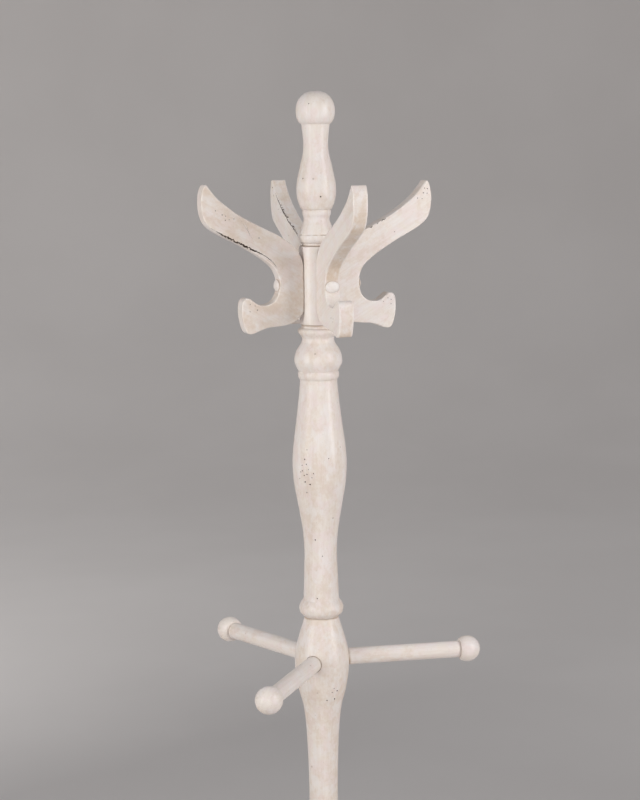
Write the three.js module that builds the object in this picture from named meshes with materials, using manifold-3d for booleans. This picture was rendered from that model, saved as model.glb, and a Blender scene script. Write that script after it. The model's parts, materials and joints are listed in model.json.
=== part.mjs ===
// A standing coat rack in painted wood: a turned post in seven sections, four sawn double hooks,
// three ball pegs and four sawn legs, with the studs, inserts, screws, dowels and glides that hold it.
// Millimetres, +Z up. The origin is on the floor, on the axis of the post.
import * as THREE from 'three';
import { mergeVertices } from 'three/addons/utils/BufferGeometryUtils.js';
import Module from 'manifold-3d';

const wasm = await Module();
wasm.setup();

// ---- driving dimensions ------------------------------------------------------------------------
const GAP = 0.3;                    // clearance between pieces that touch
const ROUND = 18;                   // sides of a turned piece
const SMALL_ROUND = 10;             // sides of a stud, screw or dowel
const RUN_STEPS = 4;                // sides of the curve at the end of a milled flat
const PAST = 1;                     // how far a cutting tool runs past the face that it cuts

// heights of the post's sections, from the bottom up, each with its seam
const DROP_CLEAR = 66;              // floor to the tip of the drop
const DROP_HEIGHT = 46;
const LEG_BLOCK_HEIGHT = 210;
const LOWER_POST_HEIGHT = 524;
const PEG_POST_HEIGHT = 315.2;
const UPPER_POST_HEIGHT = 377.9;
const HOOK_BLOCK_HEIGHT = 99;
const FINIAL_HEIGHT = 191.9;

// knock-down joints between the sections
const STUD_R = 4;
const STUD_HALF = 22;               // length of a stud in each section
const STUD_ROOM = 2;                // depth of a bore past the end of its stud
const INSERT_R = 7;
const INSERT_LENGTH = 16;
const SPIGOT_R = 9;
const SPIGOT_LENGTH = 20;

// hooks
const BOARD_COUNT = 4;              // hooks, and legs, around the post
const HOOK_BOARD = 19;              // thickness of the board
const HOOK_SEAT = 20.9;             // axis to the flat that the hook sits on
const HOOK_SEAT_COVER = 0.4;        // how much wider the board is than the flat, on each side
const HOOK_SEAT_FROM = 17;          // base of the block to the lower end of the flat
const HOOK_SEAT_TO = 78;            // base of the block to the upper end of the flat
const HOOK_RUN_DOWN = 18;           // length of the curve below the flat
const HOOK_RUN_UP = 40;             // length of the curve above the flat
const HOOK_BLOCK_BEVEL = 1;
const HOOK_THROAT_Z = 48;           // base of the block to the throat, where the outline is drawn from
const HOOK_SCREW_Z = 50.5;          // base of the block to the screw
const HOOK_DOWEL_Z = 66;            // base of the block to the dowel
const HOOK_NECK = 32.3;             // seat to the throat, at the screw
const HOOK_REACH = 131.6;           // seat to the tip
const HOOK_BEVEL = 1.3;             // eased edges of the board

// legs
const LEG_BOARD = 22;
const LEG_SEAT = 27;
const LEG_SEAT_COVER = 0.4;
const LEG_SEAT_FROM = 14;
const LEG_SEAT_TO = 196;
const LEG_RUN = 12;                 // length of the curve at each end of the flat
const LEG_BLOCK_BEVEL = 1.5;
const LEG_SCREW_Z = 175;
const LEG_DOWEL_Z = 52;
const LEG_NECK = 30;
const LEG_REACH = 266;
const LEG_BEVEL = 1.5;
const FOOT_CENTRE = 0.873;          // middle of the foot, as a fraction from the throat to the tip
const SOLE_HALF = 0.059;            // half of the sole, as a fraction of the same length

// fixings
const SCREW_R = 2.1;
const SCREW_HEAD_R = 4.4;
const SCREW_HEAD = 3.2;
const SCREW_TIP = 5;                // axis of the post to the tip of each screw
const BORE_R = 6.3;                 // counterbore over a screw head
const PLUG_REACH = 5.9;             // length of a plug's stem
const SEAT_SINK = 0.7;              // depth of the flat that a plug's cap sits on
const CAP_R = 9.2;                  // half the width of a plug's cap
const CAP_OVAL = 0.76;              // height of the cap as a share of its width
const CAP_HEIGHT = 3.6;
const DOWEL_R = 3;
const DOWEL_IN_BLOCK = 11;
const DOWEL_IN_BOARD = 14;

// pegs
const PEG_COUNT = 3;
const PEG_TURN = -9.4;              // degrees from +X to the first peg
const PEG_Z = 259;                  // base of the peg section to the pegs
const PEG_R = 11;
const SOCKET_FLOOR = 17.3;          // axis to the bottom of a peg's socket
const BALL_CENTRE = 194;            // axis to the middle of a peg's ball
const BALL_R = 17;
const BALL_SHOULDER_R = 13.5;       // flat of the ball, round the peg
const TENON_R = 7.5;
const TENON_LENGTH = 18;

// glides
const GLIDE_R = 11;
const GLIDE_HEIGHT = 6.5;
const GLIDE_BEVEL = 2;
const GLIDE_PIN_R = 2.5;
const GLIDE_PIN = 14;

// ---- finishes ------------------------------------------------------------------------------------
const PAINT = { color: 0xdccdbd, roughness: 0.5, metalness: 0 };
const PLUG_PAINT = { color: 0xe9e1dc, roughness: 0.45, metalness: 0 };
const BEECH = { color: 0xc9a877, roughness: 0.7, metalness: 0 };
const STEEL = { color: 0xb8bbc0, roughness: 0.35, metalness: 1 };
const BRASS = { color: 0xc8a558, roughness: 0.35, metalness: 1 };
const NYLON = { color: 0xd8d3c8, roughness: 0.6, metalness: 0 };

// ---- helpers ---------------------------------------------------------------------------------------
const point = ([x, y]) => new THREE.Vector2(x, y);

// runs of a turned profile, each a list of (radius, height) points
const straight = (...points) => points.map(point);
const curve = (steps, ...points) => new THREE.SplineCurve(points.map(point)).getPoints(steps);

// half an ellipse that swells from its two ends to a crest
function bead(lowR, lowH, highR, highH, crest, steps = 4) {
  const points = [];
  for (let i = 0; i <= steps; i += 1) {
    const turn = Math.PI * i / steps;
    const along = (1 - Math.cos(turn)) / 2;
    const base = lowR + (highR - lowR) * along;
    const swell = crest - (lowR + highR) / 2;
    points.push(new THREE.Vector2(base + swell * Math.sin(turn), lowH + (highH - lowH) * along));
  }
  return points;
}

// a profile turned about +Z
function turned(profile, sides = ROUND) {
  const clean = profile.filter((p, i) => i === 0 || p.distanceTo(profile[i - 1]) > 1e-6);
  return new THREE.LatheGeometry(clean, sides).rotateX(Math.PI / 2);
}

// a section's outside, stretched to its height, as one list of points
function stretched(height, ...runs) {
  const points = runs.flat();
  const factor = (height - GAP) / points.at(-1).y;
  return points.map((p) => new THREE.Vector2(p.x, p.y * factor));
}

const insertBore = straight(
  [0, STUD_HALF + STUD_ROOM],
  [STUD_R + GAP, STUD_HALF + STUD_ROOM],
  [STUD_R + GAP, INSERT_LENGTH + GAP],
  [INSERT_R + GAP, INSERT_LENGTH + GAP],
  [INSERT_R + GAP, 0],
);

const studBore = (height) => straight(
  [STUD_R + GAP, height - GAP],
  [STUD_R + GAP, height - STUD_HALF - STUD_ROOM],
  [0, height - STUD_HALF - STUD_ROOM],
);

const rod = (radius, from, to, sides = SMALL_ROUND) =>
  turned(straight([0, from], [radius, from], [radius, to], [0, to]), sides);

// a shape that stands in the plane of +X and +Z, centred on that plane
function board(shape, thickness, bevel, curveSegments = 1) {
  const geometry = new THREE.ExtrudeGeometry(shape, {
    depth: thickness - 2 * bevel,
    bevelEnabled: bevel > 0,
    bevelSize: bevel,
    bevelOffset: -bevel,
    bevelThickness: bevel,
    bevelSegments: 1,
    curveSegments,
  });
  return geometry.translate(0, 0, -thickness / 2 + bevel).rotateX(Math.PI / 2);
}

function solid(geometry) {
  const bare = geometry.index ? geometry : geometry.clone();
  bare.deleteAttribute('normal');
  bare.deleteAttribute('uv');
  const merged = mergeVertices(bare, 1e-4);
  return new wasm.Manifold(new wasm.Mesh({
    numProp: 3,
    vertProperties: new Float32Array(merged.attributes.position.array),
    triVerts: new Uint32Array(merged.index.array),
  }));
}

function geometryOf(body) {
  const mesh = body.getMesh();
  const geometry = new THREE.BufferGeometry();
  geometry.setAttribute('position', new THREE.BufferAttribute(new Float32Array(mesh.vertProperties), 3));
  geometry.setIndex(new THREE.BufferAttribute(new Uint32Array(mesh.triVerts), 1));
  return geometry;
}

// a geometry with others cut out of it
function cut(geometry, tools) {
  const body = tools.reduce((left, tool) => left.subtract(solid(tool)), solid(geometry));
  return geometryOf(body);
}

function piece(name, geometry, finish) {
  const mesh = new THREE.Mesh(geometry, new THREE.MeshStandardMaterial(finish));
  mesh.name = name;
  return mesh;
}

const group = new THREE.Group();
const around = (index, count, first = 0) => THREE.MathUtils.degToRad(first) + 2 * Math.PI * index / count;

// a geometry made along +Z, laid out along +X at a height
const radial = (geometry, z) => geometry.rotateY(Math.PI / 2).translate(0, 0, z);

// ---- places of the sections --------------------------------------------------------------------------
const legBlockBase = DROP_CLEAR + DROP_HEIGHT;
const lowerPostBase = legBlockBase + LEG_BLOCK_HEIGHT;
const pegPostBase = lowerPostBase + LOWER_POST_HEIGHT;
const upperPostBase = pegPostBase + PEG_POST_HEIGHT;
const hookBlockBase = upperPostBase + UPPER_POST_HEIGHT;
const finialBase = hookBlockBase + HOOK_BLOCK_HEIGHT;

// ---- blocks: round, with a flat for each board ---------------------------------------------------------
const blockRadius = (seat, thickness, cover) => Math.hypot(seat, thickness / 2 - cover);

// a tool that mills one flat, with ends that run out in a curve
function seatTool({ seat, radius, from, to, runDown, runUp }) {
  const outer = radius + PAST;
  const shape = new THREE.Shape();
  shape.moveTo(seat, from);
  shape.lineTo(seat, to);
  shape.quadraticCurveTo(seat, to + runUp / 2, outer, to + runUp);
  shape.lineTo(outer, from - runDown);
  shape.quadraticCurveTo(seat, from - runDown / 2, seat, from);
  return board(shape, 2 * radius, 0, RUN_STEPS);
}

function blockTools(milled, bores) {
  const tools = [];
  for (let i = 0; i < BOARD_COUNT; i += 1) {
    const angle = around(i, BOARD_COUNT);
    tools.push(seatTool(milled).rotateZ(angle));
    bores.forEach(([radius, tip, z]) => {
      tools.push(radial(rod(radius + GAP, tip - GAP, milled.radius + PAST), z).rotateZ(angle));
    });
  }
  return tools;
}

// the outside of a block, with both ends bevelled
const blockSide = (radius, height, bevel) => straight(
  [radius - bevel, 0],
  [radius, bevel],
  [radius, height - GAP - bevel],
  [radius - bevel, height - GAP],
);

const dowelTip = (seat) => seat - DOWEL_IN_BLOCK;

const hookBlockR = blockRadius(HOOK_SEAT, HOOK_BOARD, HOOK_SEAT_COVER);
const hookBlockProfile = [
  ...insertBore,
  ...blockSide(hookBlockR, HOOK_BLOCK_HEIGHT, HOOK_BLOCK_BEVEL),
  ...studBore(HOOK_BLOCK_HEIGHT),
];
const hookFlat = { seat: HOOK_SEAT, radius: hookBlockR, from: HOOK_SEAT_FROM, to: HOOK_SEAT_TO,
  runDown: HOOK_RUN_DOWN, runUp: HOOK_RUN_UP };
const hookBlock = cut(turned(hookBlockProfile), blockTools(
  hookFlat,
  [[SCREW_R, SCREW_TIP, HOOK_SCREW_Z], [DOWEL_R, dowelTip(HOOK_SEAT), HOOK_DOWEL_Z]],
));

const legBlockR = blockRadius(LEG_SEAT, LEG_BOARD, LEG_SEAT_COVER);
const legBlockProfile = [
  ...straight([0, SPIGOT_LENGTH + PAST], [SPIGOT_R + GAP, SPIGOT_LENGTH + PAST], [SPIGOT_R + GAP, 0]),
  ...blockSide(legBlockR, LEG_BLOCK_HEIGHT, LEG_BLOCK_BEVEL),
  ...studBore(LEG_BLOCK_HEIGHT),
];
const legFlat = { seat: LEG_SEAT, radius: legBlockR, from: LEG_SEAT_FROM, to: LEG_SEAT_TO,
  runDown: LEG_RUN, runUp: LEG_RUN };
const legBlock = cut(turned(legBlockProfile), blockTools(
  legFlat,
  [[SCREW_R, SCREW_TIP, LEG_SCREW_Z], [DOWEL_R, dowelTip(LEG_SEAT), LEG_DOWEL_Z]],
));

// ---- turned sections -----------------------------------------------------------------------------------
const finial = turned([
  ...insertBore,
  ...stretched(
    FINIAL_HEIGHT,
    straight([18.8, 0], [18.8, 2.6]),
    bead(19.2, 3.4, 21.6, 14, 22.8),
    curve(3, [21.4, 14.6], [18.7, 24], [16.4, 31], [16.2, 34]),
    straight([17.7, 39], [18, 44], [17.4, 44.4]),
    curve(9, [18.4, 45], [21, 49.2], [24.2, 60], [24.9, 70], [23.9, 81], [20, 99],
      [16.5, 114], [15.5, 126], [16.4, 138.5], [17.6, 149.5]),
    curve(7, [18, 150.7], [22.6, 156.6], [24.4, 165.5], [23.4, 175], [18.6, 184.2], [10, 190.2], [0, 191.6]),
  ),
]);

const upperPost = turned([
  ...insertBore,
  ...stretched(
    UPPER_POST_HEIGHT,
    straight([21.6, 0], [21.8, 0.9]),
    bead(22, 1.2, 23, 22.8, 28.6),
    curve(10, [22.8, 26], [21.7, 56.4], [20.9, 84.4], [22.6, 112.4], [27.7, 143.4], [33, 174.4], [34.6, 198.4],
      [33.4, 221.4], [29.4, 252.4], [25.7, 283.4], [23.6, 306.9]),
    bead(23.8, 308.4, 24.7, 318, 26.1),
    curve(5, [24.9, 318.4], [29.6, 327.4], [30.3, 334.9], [27.6, 344.7], [21.3, 354.7], [20.2, 359.9]),
    curve(5, [20.5, 361.4], [22.3, 364], [25.4, 367.9], [25.7, 370.4], [21.4, 373.5]),
    straight([21.2, 373.8], [21.2, 377.6]),
  ),
  ...studBore(UPPER_POST_HEIGHT),
]);

const pegPostProfile = [
  ...insertBore,
  ...stretched(
    PEG_POST_HEIGHT,
    straight([20.8, 0], [20.8, 3]),
    bead(21, 3.4, 21.6, 25.6, 27.3),
    curve(10, [20.9, 29], [19, 58], [18.6, 78], [19.2, 113], [20.4, 147], [22.2, 176], [25.4, 199.4],
      [30.4, 217.5], [34.2, 240], [35.2, 257], [34.2, 269]),
    curve(3, [34.2, 269], [32.6, 277], [29.3, 290], [25.1, 303.6]),
    straight([21.7, 314.9]),
  ),
  ...studBore(PEG_POST_HEIGHT),
];
const pegSockets = Array.from({ length: PEG_COUNT }, (_, i) =>
  radial(rod(PEG_R + GAP, SOCKET_FLOOR, BALL_CENTRE / 2, ROUND), PEG_Z).rotateZ(around(i, PEG_COUNT, PEG_TURN)));
const pegPost = cut(turned(pegPostProfile), pegSockets);

const lowerPost = turned([
  ...insertBore,
  ...stretched(
    LOWER_POST_HEIGHT,
    straight([26, 0], [26, 4]),
    bead(26, 4.5, 24.6, 33, 32),
    curve(10, [24, 37], [22.9, 72], [23.6, 108], [26.4, 148], [31.4, 196], [35.4, 244], [36.4, 283],
      [34.6, 322], [30.4, 358], [25.8, 392], [23, 414]),
    bead(23.2, 416, 24, 427, 27),
    curve(6, [24, 428], [30.2, 452], [32, 478], [29.8, 500], [23.4, 518.5]),
    straight([21.6, 519], [21.6, 523.7]),
  ),
  ...studBore(LOWER_POST_HEIGHT),
]);

const dropProfile = [
  ...stretched(
    DROP_HEIGHT,
    curve(5, [0, 0], [7, 1.6], [12.2, 6.5], [13.6, 13], [11.6, 19.6], [8.6, 23.6]),
    curve(3, [9.4, 25], [11, 29.6], [15.6, 33.6], [21, 36]),
    bead(21.6, 36.4, 21.8, 43, 24.8),
    straight([23.4, 43], [23.4, DROP_HEIGHT - GAP]),
  ),
  ...straight([SPIGOT_R, DROP_HEIGHT - GAP], [SPIGOT_R, DROP_HEIGHT + SPIGOT_LENGTH], [0, DROP_HEIGHT + SPIGOT_LENGTH]),
];

function addSection(name, geometry, base) {
  const mesh = piece(name, geometry, PAINT);
  mesh.position.z = base;
  group.add(mesh);
}

addSection('base_drop', turned(dropProfile), DROP_CLEAR);
addSection('leg_block', legBlock, legBlockBase);
addSection('lower_post', lowerPost, lowerPostBase);
addSection('peg_post', pegPost, pegPostBase);
addSection('upper_post', upperPost, upperPostBase);
addSection('hook_block', hookBlock, hookBlockBase);
addSection('finial', finial, finialBase);

// ---- studs and inserts at the seams ----------------------------------------------------------------------
const seams = { lower_post: lowerPostBase, peg_post: pegPostBase, upper_post: upperPostBase,
  hook_block: hookBlockBase, finial: finialBase };

Object.entries(seams).forEach(([name, z]) => {
  const stud = piece(`${name}_stud`, rod(STUD_R, -STUD_HALF, STUD_HALF), STEEL);
  const ring = straight(
    [STUD_R + GAP, GAP],
    [INSERT_R, GAP],
    [INSERT_R, INSERT_LENGTH],
    [STUD_R + GAP, INSERT_LENGTH],
    [STUD_R + GAP, GAP],
  );
  const insert = piece(`${name}_insert`, turned(ring, SMALL_ROUND), BRASS);
  stud.position.z = z;
  insert.position.z = z;
  group.add(stud, insert);
});

// ---- boards: hooks and legs --------------------------------------------------------------------------------
// A hook's outline, from its seat outwards (X) and up from its throat (Y). Fractions of the arm run from
// 0 at the throat to 1 at the tip.
function hookOutline() {
  const arm = (fraction) => HOOK_NECK + (HOOK_REACH - HOOK_NECK) * fraction;
  const shape = new THREE.Shape();
  shape.moveTo(0, 25.5);
  shape.lineTo(0, -27);
  shape.splineThru([
    [2, -33.5], [9, -40.5], [20, -45.8], [arm(0.02), -48], [arm(0.15), -49], [arm(0.26), -52.3],
    [arm(0.36), -56], [arm(0.43), -54.5], [arm(0.47), -46.5], [arm(0.496), -33], [arm(0.494), -19],
    [arm(0.463), -12.6], [arm(0.403), -11.3], [arm(0.34), -15.5], [arm(0.27), -20.2], [arm(0.19), -21],
    [arm(0.1), -18.5], [arm(0.03), -11], [HOOK_NECK, 0], [arm(0.002), 11.5], [arm(0.057), 24],
    [arm(0.158), 33.3], [arm(0.28), 41.7], [arm(0.48), 53.5], [arm(0.69), 64.5], [arm(0.85), 73.5],
    [arm(0.94), 82], [arm(0.984), 93], [HOOK_REACH, 105], [arm(0.994), 117], [arm(0.969), 125.5],
    [arm(0.932), 129.5], [arm(0.883), 123.5], [arm(0.777), 111.5], [arm(0.652), 101.5], [arm(0.531), 93],
    [arm(0.4), 85.5], [arm(0.27), 78.5], [arm(0.138), 72.3], [arm(0.037), 67.5], [24, 60.5],
    [15.5, 54], [7, 44], [1.8, 34.5], [0, 25.5],
  ].map(point));
  return shape;
}

// A leg's outline, from its seat outwards (X) and up from the floor (Y). It is drawn with its screw at
// LEG_DRAWN above the floor, and stretched between the sole and the screw's real height.
const LEG_DRAWN = 287;
const sole = GLIDE_HEIGHT + GAP;
const legStretch = (legBlockBase + LEG_SCREW_Z - sole) / (LEG_DRAWN - sole);
const legPoint = ([x, z]) => point([x, sole + (z - sole) * legStretch]);
const footCentre = LEG_NECK + (LEG_REACH - LEG_NECK) * FOOT_CENTRE;

function legOutline() {
  const arm = (fraction) => LEG_NECK + (LEG_REACH - LEG_NECK) * fraction;
  const shape = new THREE.Shape([legPoint([0, 300]), legPoint([0, 130])]);
  shape.splineThru([
    [2, 124], [9, 121], [20, 128], [arm(0.008), 146], [arm(0.068), 164], [arm(0.13), 175],
    [arm(0.195), 176], [arm(0.26), 165], [arm(0.33), 139], [arm(0.4), 114], [arm(0.466), 92],
    [arm(0.542), 71], [arm(0.627), 53], [arm(0.703), 38], [arm(0.754), 24], [arm(0.788), 12],
    [arm(FOOT_CENTRE - SOLE_HALF), sole],
  ].map(legPoint));
  shape.lineTo(arm(FOOT_CENTRE + SOLE_HALF), sole);
  shape.splineThru([
    [arm(0.965), 14], [arm(0.987), 26], [LEG_REACH, 40], [arm(0.987), 51], [arm(0.953), 58.5],
    [arm(0.894), 63.5], [arm(0.81), 71.5], [arm(0.73), 82.5], [arm(0.657), 98.5], [arm(0.593), 117],
    [arm(0.534), 138], [arm(0.472), 162], [arm(0.4), 186], [arm(0.314), 211], [arm(0.242), 230],
    [arm(0.16), 247], [arm(0.08), 259.5], [arm(0.034), 268.5], [arm(0.008), 277.5], [LEG_NECK, LEG_DRAWN],
    [29, 297], [25, 306], [18, 311], [9, 311.5], [2, 307], [0, 300],
  ].map(legPoint));
  return shape;
}

// holes for a screw with its plug, and for a dowel, in a board whose seat is at X = 0
function boardTools(neck, screwZ, dowelZ) {
  const capFloor = neck - SEAT_SINK;
  const boreFloor = capFloor - PLUG_REACH - SCREW_HEAD - 2 * GAP;
  return [
    radial(rod(SCREW_R + GAP, -PAST, neck), screwZ),
    radial(rod(BORE_R, boreFloor, neck), screwZ),
    radial(rod(CAP_R + GAP, capFloor, neck + CAP_HEIGHT, ROUND).scale(CAP_OVAL, 1, 1), screwZ),
    radial(rod(DOWEL_R + GAP, -PAST, DOWEL_IN_BOARD + GAP), dowelZ),
  ];
}

// a screw, its plug and its dowel, in a group that faces along +X
function fixings(name, neck, seat, screwZ, dowelZ) {
  const back = seat + GAP;
  const capFloor = back + neck - SEAT_SINK + GAP;
  const headTop = capFloor - GAP - PLUG_REACH - GAP;
  const headFloor = headTop - SCREW_HEAD + GAP;
  const screw = turned(straight(
    [0, SCREW_TIP],
    [SCREW_R, SCREW_TIP + 2 * SCREW_R],
    [SCREW_R, headFloor],
    [SCREW_HEAD_R, headFloor],
    [SCREW_HEAD_R, headTop],
    [0, headTop],
  ), SMALL_ROUND);
  const stem = rod(BORE_R - GAP, headTop + GAP, capFloor + CAP_HEIGHT / 4);
  const cap = turned(straight(
    [0, capFloor],
    [CAP_R, capFloor],
    [CAP_R, capFloor + CAP_HEIGHT * 0.25],
    [CAP_R * 0.75, capFloor + CAP_HEIGHT * 0.8],
    [CAP_R * 0.45, capFloor + CAP_HEIGHT],
    [0, capFloor + CAP_HEIGHT],
  )).scale(CAP_OVAL, 1, 1);
  const plug = geometryOf(solid(stem).add(solid(cap)));
  const dowel = rod(DOWEL_R, seat - DOWEL_IN_BLOCK, back + DOWEL_IN_BOARD);
  return [
    piece(`${name}_screw`, radial(screw, screwZ), STEEL),
    piece(`${name}_plug`, radial(plug, screwZ), PLUG_PAINT),
    piece(`${name}_dowel`, radial(dowel, dowelZ), BEECH),
  ];
}

for (let i = 0; i < BOARD_COUNT; i += 1) {
  const name = `hook_${i + 1}`;
  const throatZ = hookBlockBase + HOOK_THROAT_Z;
  const screwZ = hookBlockBase + HOOK_SCREW_Z;
  const dowelZ = hookBlockBase + HOOK_DOWEL_Z;
  const outline = board(hookOutline(), HOOK_BOARD, HOOK_BEVEL);
  const tools = boardTools(HOOK_NECK, screwZ - throatZ, dowelZ - throatZ);
  const hook = piece(name, cut(outline, tools), PAINT);
  hook.position.set(HOOK_SEAT + GAP, 0, throatZ);
  const arm = new THREE.Group();
  arm.add(hook, ...fixings(name, HOOK_NECK, HOOK_SEAT, screwZ, dowelZ));
  arm.rotation.z = around(i, BOARD_COUNT);
  group.add(arm);
}

const glideProfile = straight(
  [0, 0],
  [GLIDE_R, 0],
  [GLIDE_R, GLIDE_HEIGHT - GLIDE_BEVEL],
  [GLIDE_R - GLIDE_BEVEL, GLIDE_HEIGHT],
  [GLIDE_PIN_R, GLIDE_HEIGHT],
  [GLIDE_PIN_R, GLIDE_HEIGHT + GLIDE_PIN],
  [0, GLIDE_HEIGHT + GLIDE_PIN],
);

for (let i = 0; i < BOARD_COUNT; i += 1) {
  const name = `leg_${i + 1}`;
  const screwZ = legBlockBase + LEG_SCREW_Z;
  const dowelZ = legBlockBase + LEG_DOWEL_Z;
  const pinHole = rod(GLIDE_PIN_R + GAP, 0, GLIDE_HEIGHT + GLIDE_PIN + GAP).translate(footCentre, 0, 0);
  const tools = [...boardTools(LEG_NECK, screwZ, dowelZ), pinHole];
  const leg = piece(name, cut(board(legOutline(), LEG_BOARD, LEG_BEVEL), tools), PAINT);
  leg.position.x = LEG_SEAT + GAP;
  const glide = piece(`glide_${i + 1}`, turned(glideProfile, SMALL_ROUND), NYLON);
  glide.position.x = LEG_SEAT + GAP + footCentre;
  const arm = new THREE.Group();
  arm.add(leg, glide, ...fixings(name, LEG_NECK, LEG_SEAT, screwZ, dowelZ));
  arm.rotation.z = around(i, BOARD_COUNT);
  group.add(arm);
}

// ---- pegs ------------------------------------------------------------------------------------------------------
const shoulder = BALL_CENTRE - Math.sqrt(BALL_R ** 2 - BALL_SHOULDER_R ** 2);
const pegProfile = straight(
  [0, SOCKET_FLOOR + GAP],
  [PEG_R, SOCKET_FLOOR + GAP],
  [PEG_R, shoulder - GAP],
  [TENON_R, shoulder - GAP],
  [TENON_R, shoulder + TENON_LENGTH],
  [0, shoulder + TENON_LENGTH],
);

function ballProfile(steps = 6) {
  const start = Math.asin(BALL_SHOULDER_R / BALL_R);
  const points = straight(
    [0, shoulder + TENON_LENGTH + GAP],
    [TENON_R + GAP, shoulder + TENON_LENGTH + GAP],
    [TENON_R + GAP, shoulder],
  );
  for (let i = 0; i <= steps; i += 1) {
    const turn = start + (Math.PI - start) * i / steps;
    const radius = i === steps ? 0 : BALL_R * Math.sin(turn);
    points.push(new THREE.Vector2(radius, BALL_CENTRE - BALL_R * Math.cos(turn)));
  }
  return points;
}

for (let i = 0; i < PEG_COUNT; i += 1) {
  const z = pegPostBase + PEG_Z;
  const arm = new THREE.Group();
  arm.add(
    piece(`peg_${i + 1}`, radial(turned(pegProfile), z), PAINT),
    piece(`peg_${i + 1}_ball`, radial(turned(ballProfile()), z), PAINT),
  );
  arm.rotation.z = around(i, PEG_COUNT, PEG_TURN);
  group.add(arm);
}

export default group;
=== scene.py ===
# %% [markdown]
# # A standing coat rack in antiqued paint
# The rack is a turned post in seven screwed sections. Four sawn double hooks sit on flats of a round
# block near the top, three ball pegs stand in sockets at mid height, and four sawn legs carry it.
# The frame that is loaded first has every piece at its real size and place. This notebook makes the
# fine surfaces: smooth turnings, eased and worn boards, worm holes, cracks and a glazed paint.

# %% The frame and the tools
import json
import math
import random

import bmesh
import bpy
import numpy as np
from mathutils import Matrix, Vector, noise
from mathutils.geometry import delaunay_2d_cdt

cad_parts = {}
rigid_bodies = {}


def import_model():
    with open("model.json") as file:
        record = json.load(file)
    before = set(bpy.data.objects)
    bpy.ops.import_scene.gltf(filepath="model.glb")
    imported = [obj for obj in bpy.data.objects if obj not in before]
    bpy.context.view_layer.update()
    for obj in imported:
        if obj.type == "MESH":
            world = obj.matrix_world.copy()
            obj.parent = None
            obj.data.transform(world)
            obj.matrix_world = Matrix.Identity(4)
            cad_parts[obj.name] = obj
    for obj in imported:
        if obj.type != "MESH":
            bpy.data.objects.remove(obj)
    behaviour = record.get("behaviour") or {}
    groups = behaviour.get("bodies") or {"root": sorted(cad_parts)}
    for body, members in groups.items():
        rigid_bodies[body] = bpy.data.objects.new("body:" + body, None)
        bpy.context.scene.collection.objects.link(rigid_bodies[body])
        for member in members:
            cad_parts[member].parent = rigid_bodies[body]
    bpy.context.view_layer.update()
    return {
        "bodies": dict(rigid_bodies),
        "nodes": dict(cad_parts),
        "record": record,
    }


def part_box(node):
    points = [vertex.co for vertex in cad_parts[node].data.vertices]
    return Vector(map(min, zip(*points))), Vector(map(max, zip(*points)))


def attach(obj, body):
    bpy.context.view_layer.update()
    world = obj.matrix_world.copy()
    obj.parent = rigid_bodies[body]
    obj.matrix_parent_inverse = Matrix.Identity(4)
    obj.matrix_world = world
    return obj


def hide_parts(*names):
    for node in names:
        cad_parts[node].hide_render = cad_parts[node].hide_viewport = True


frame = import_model()
MM = 0.001
ROOT = next(iter(frame["bodies"]))

# %% [markdown]
# ## Camera and light
# The camera stands a little above the hooks, so that rings are seen nearly edge on and the tops of the
# pegs just show. It turns round the post by the angle between the hooks and the line of sight. A long
# lens keeps the verticals calm. Two tall soft boxes stand left and right of the camera: each leaves one
# long highlight on a turned piece, which is what shows that the paint has a satin coat. Two more lamps
# stand behind the rack and wash the wall, so that the cream paint has a soft grey to stand against.

# %% Camera
VIEW_TURN = math.radians(-20)
VIEW_DISTANCE = 2.3748
VIEW_HEIGHT = 1.7813
VIEW_PITCH = math.radians(-8.13)
VIEW_PAN = math.radians(-0.036)
VIEW_ROLL = math.radians(-0.7)

camera_data = bpy.data.cameras.new("portrait_camera")
camera_data.lens = 85
camera_data.sensor_width = 36
camera_data.clip_end = 100
camera = bpy.data.objects.new("portrait_camera", camera_data)
bpy.context.scene.collection.objects.link(camera)
bpy.context.scene.camera = camera
standing = Matrix.Rotation(VIEW_TURN, 4, "Z") @ Matrix.Translation((0, -VIEW_DISTANCE, VIEW_HEIGHT))
looking = Matrix.Rotation(VIEW_PAN, 4, "Z") @ Matrix.Rotation(math.radians(90) + VIEW_PITCH, 4, "X")
camera.matrix_world = standing @ looking @ Matrix.Rotation(VIEW_ROLL, 4, "Z")
print("camera at", [round(c, 3) for c in camera.matrix_world.translation])


# %% Soft boxes and sky
def soft_box(name, bearing, distance, height, width, tall, watts, aim=1.35, tint=(1, 1, 1)):
    """A rectangular lamp at a bearing from the line of sight, in degrees; past 90 it faces the wall."""
    data = bpy.data.lights.new(name, "AREA")
    data.shape = "RECTANGLE"
    data.size = width
    data.size_y = tall
    data.energy = watts
    data.color = tint
    lamp = bpy.data.objects.new(name, data)
    angle = VIEW_TURN + math.radians(bearing - 90)
    place = Vector((distance * math.cos(angle), distance * math.sin(angle), height))
    towards = Vector((0, 0, aim)) if abs(bearing) < 90 else Vector((2.5 * place.x, 2.5 * place.y, aim))
    facing = (place - towards).to_track_quat("Z", "Y")
    lamp.matrix_world = Matrix.Translation(place) @ facing.to_matrix().to_4x4()
    lamp.visible_camera = False
    bpy.context.scene.collection.objects.link(lamp)


soft_box("front_box", -8, 2.7, 1.9, 1.5, 1.5, 11, tint=(1, 0.99, 0.98))
soft_box("left_box", -56, 2.3, 1.8, 0.8, 1.8, 29, tint=(1, 0.985, 0.965))
soft_box("right_box", 60, 2.2, 1.9, 0.6, 1.7, 29, tint=(1, 0.985, 0.985))
soft_box("low_fill", 15, 2.6, 0.5, 1.6, 0.6, 3.5, aim=1.5)
soft_box("wall_wash_left", 220, 3.2, 2.6, 2.5, 2.0, 64, aim=1.3)
soft_box("wall_wash_right", 143, 3.2, 2.6, 2.5, 2.0, 17, aim=1.3)

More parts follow.
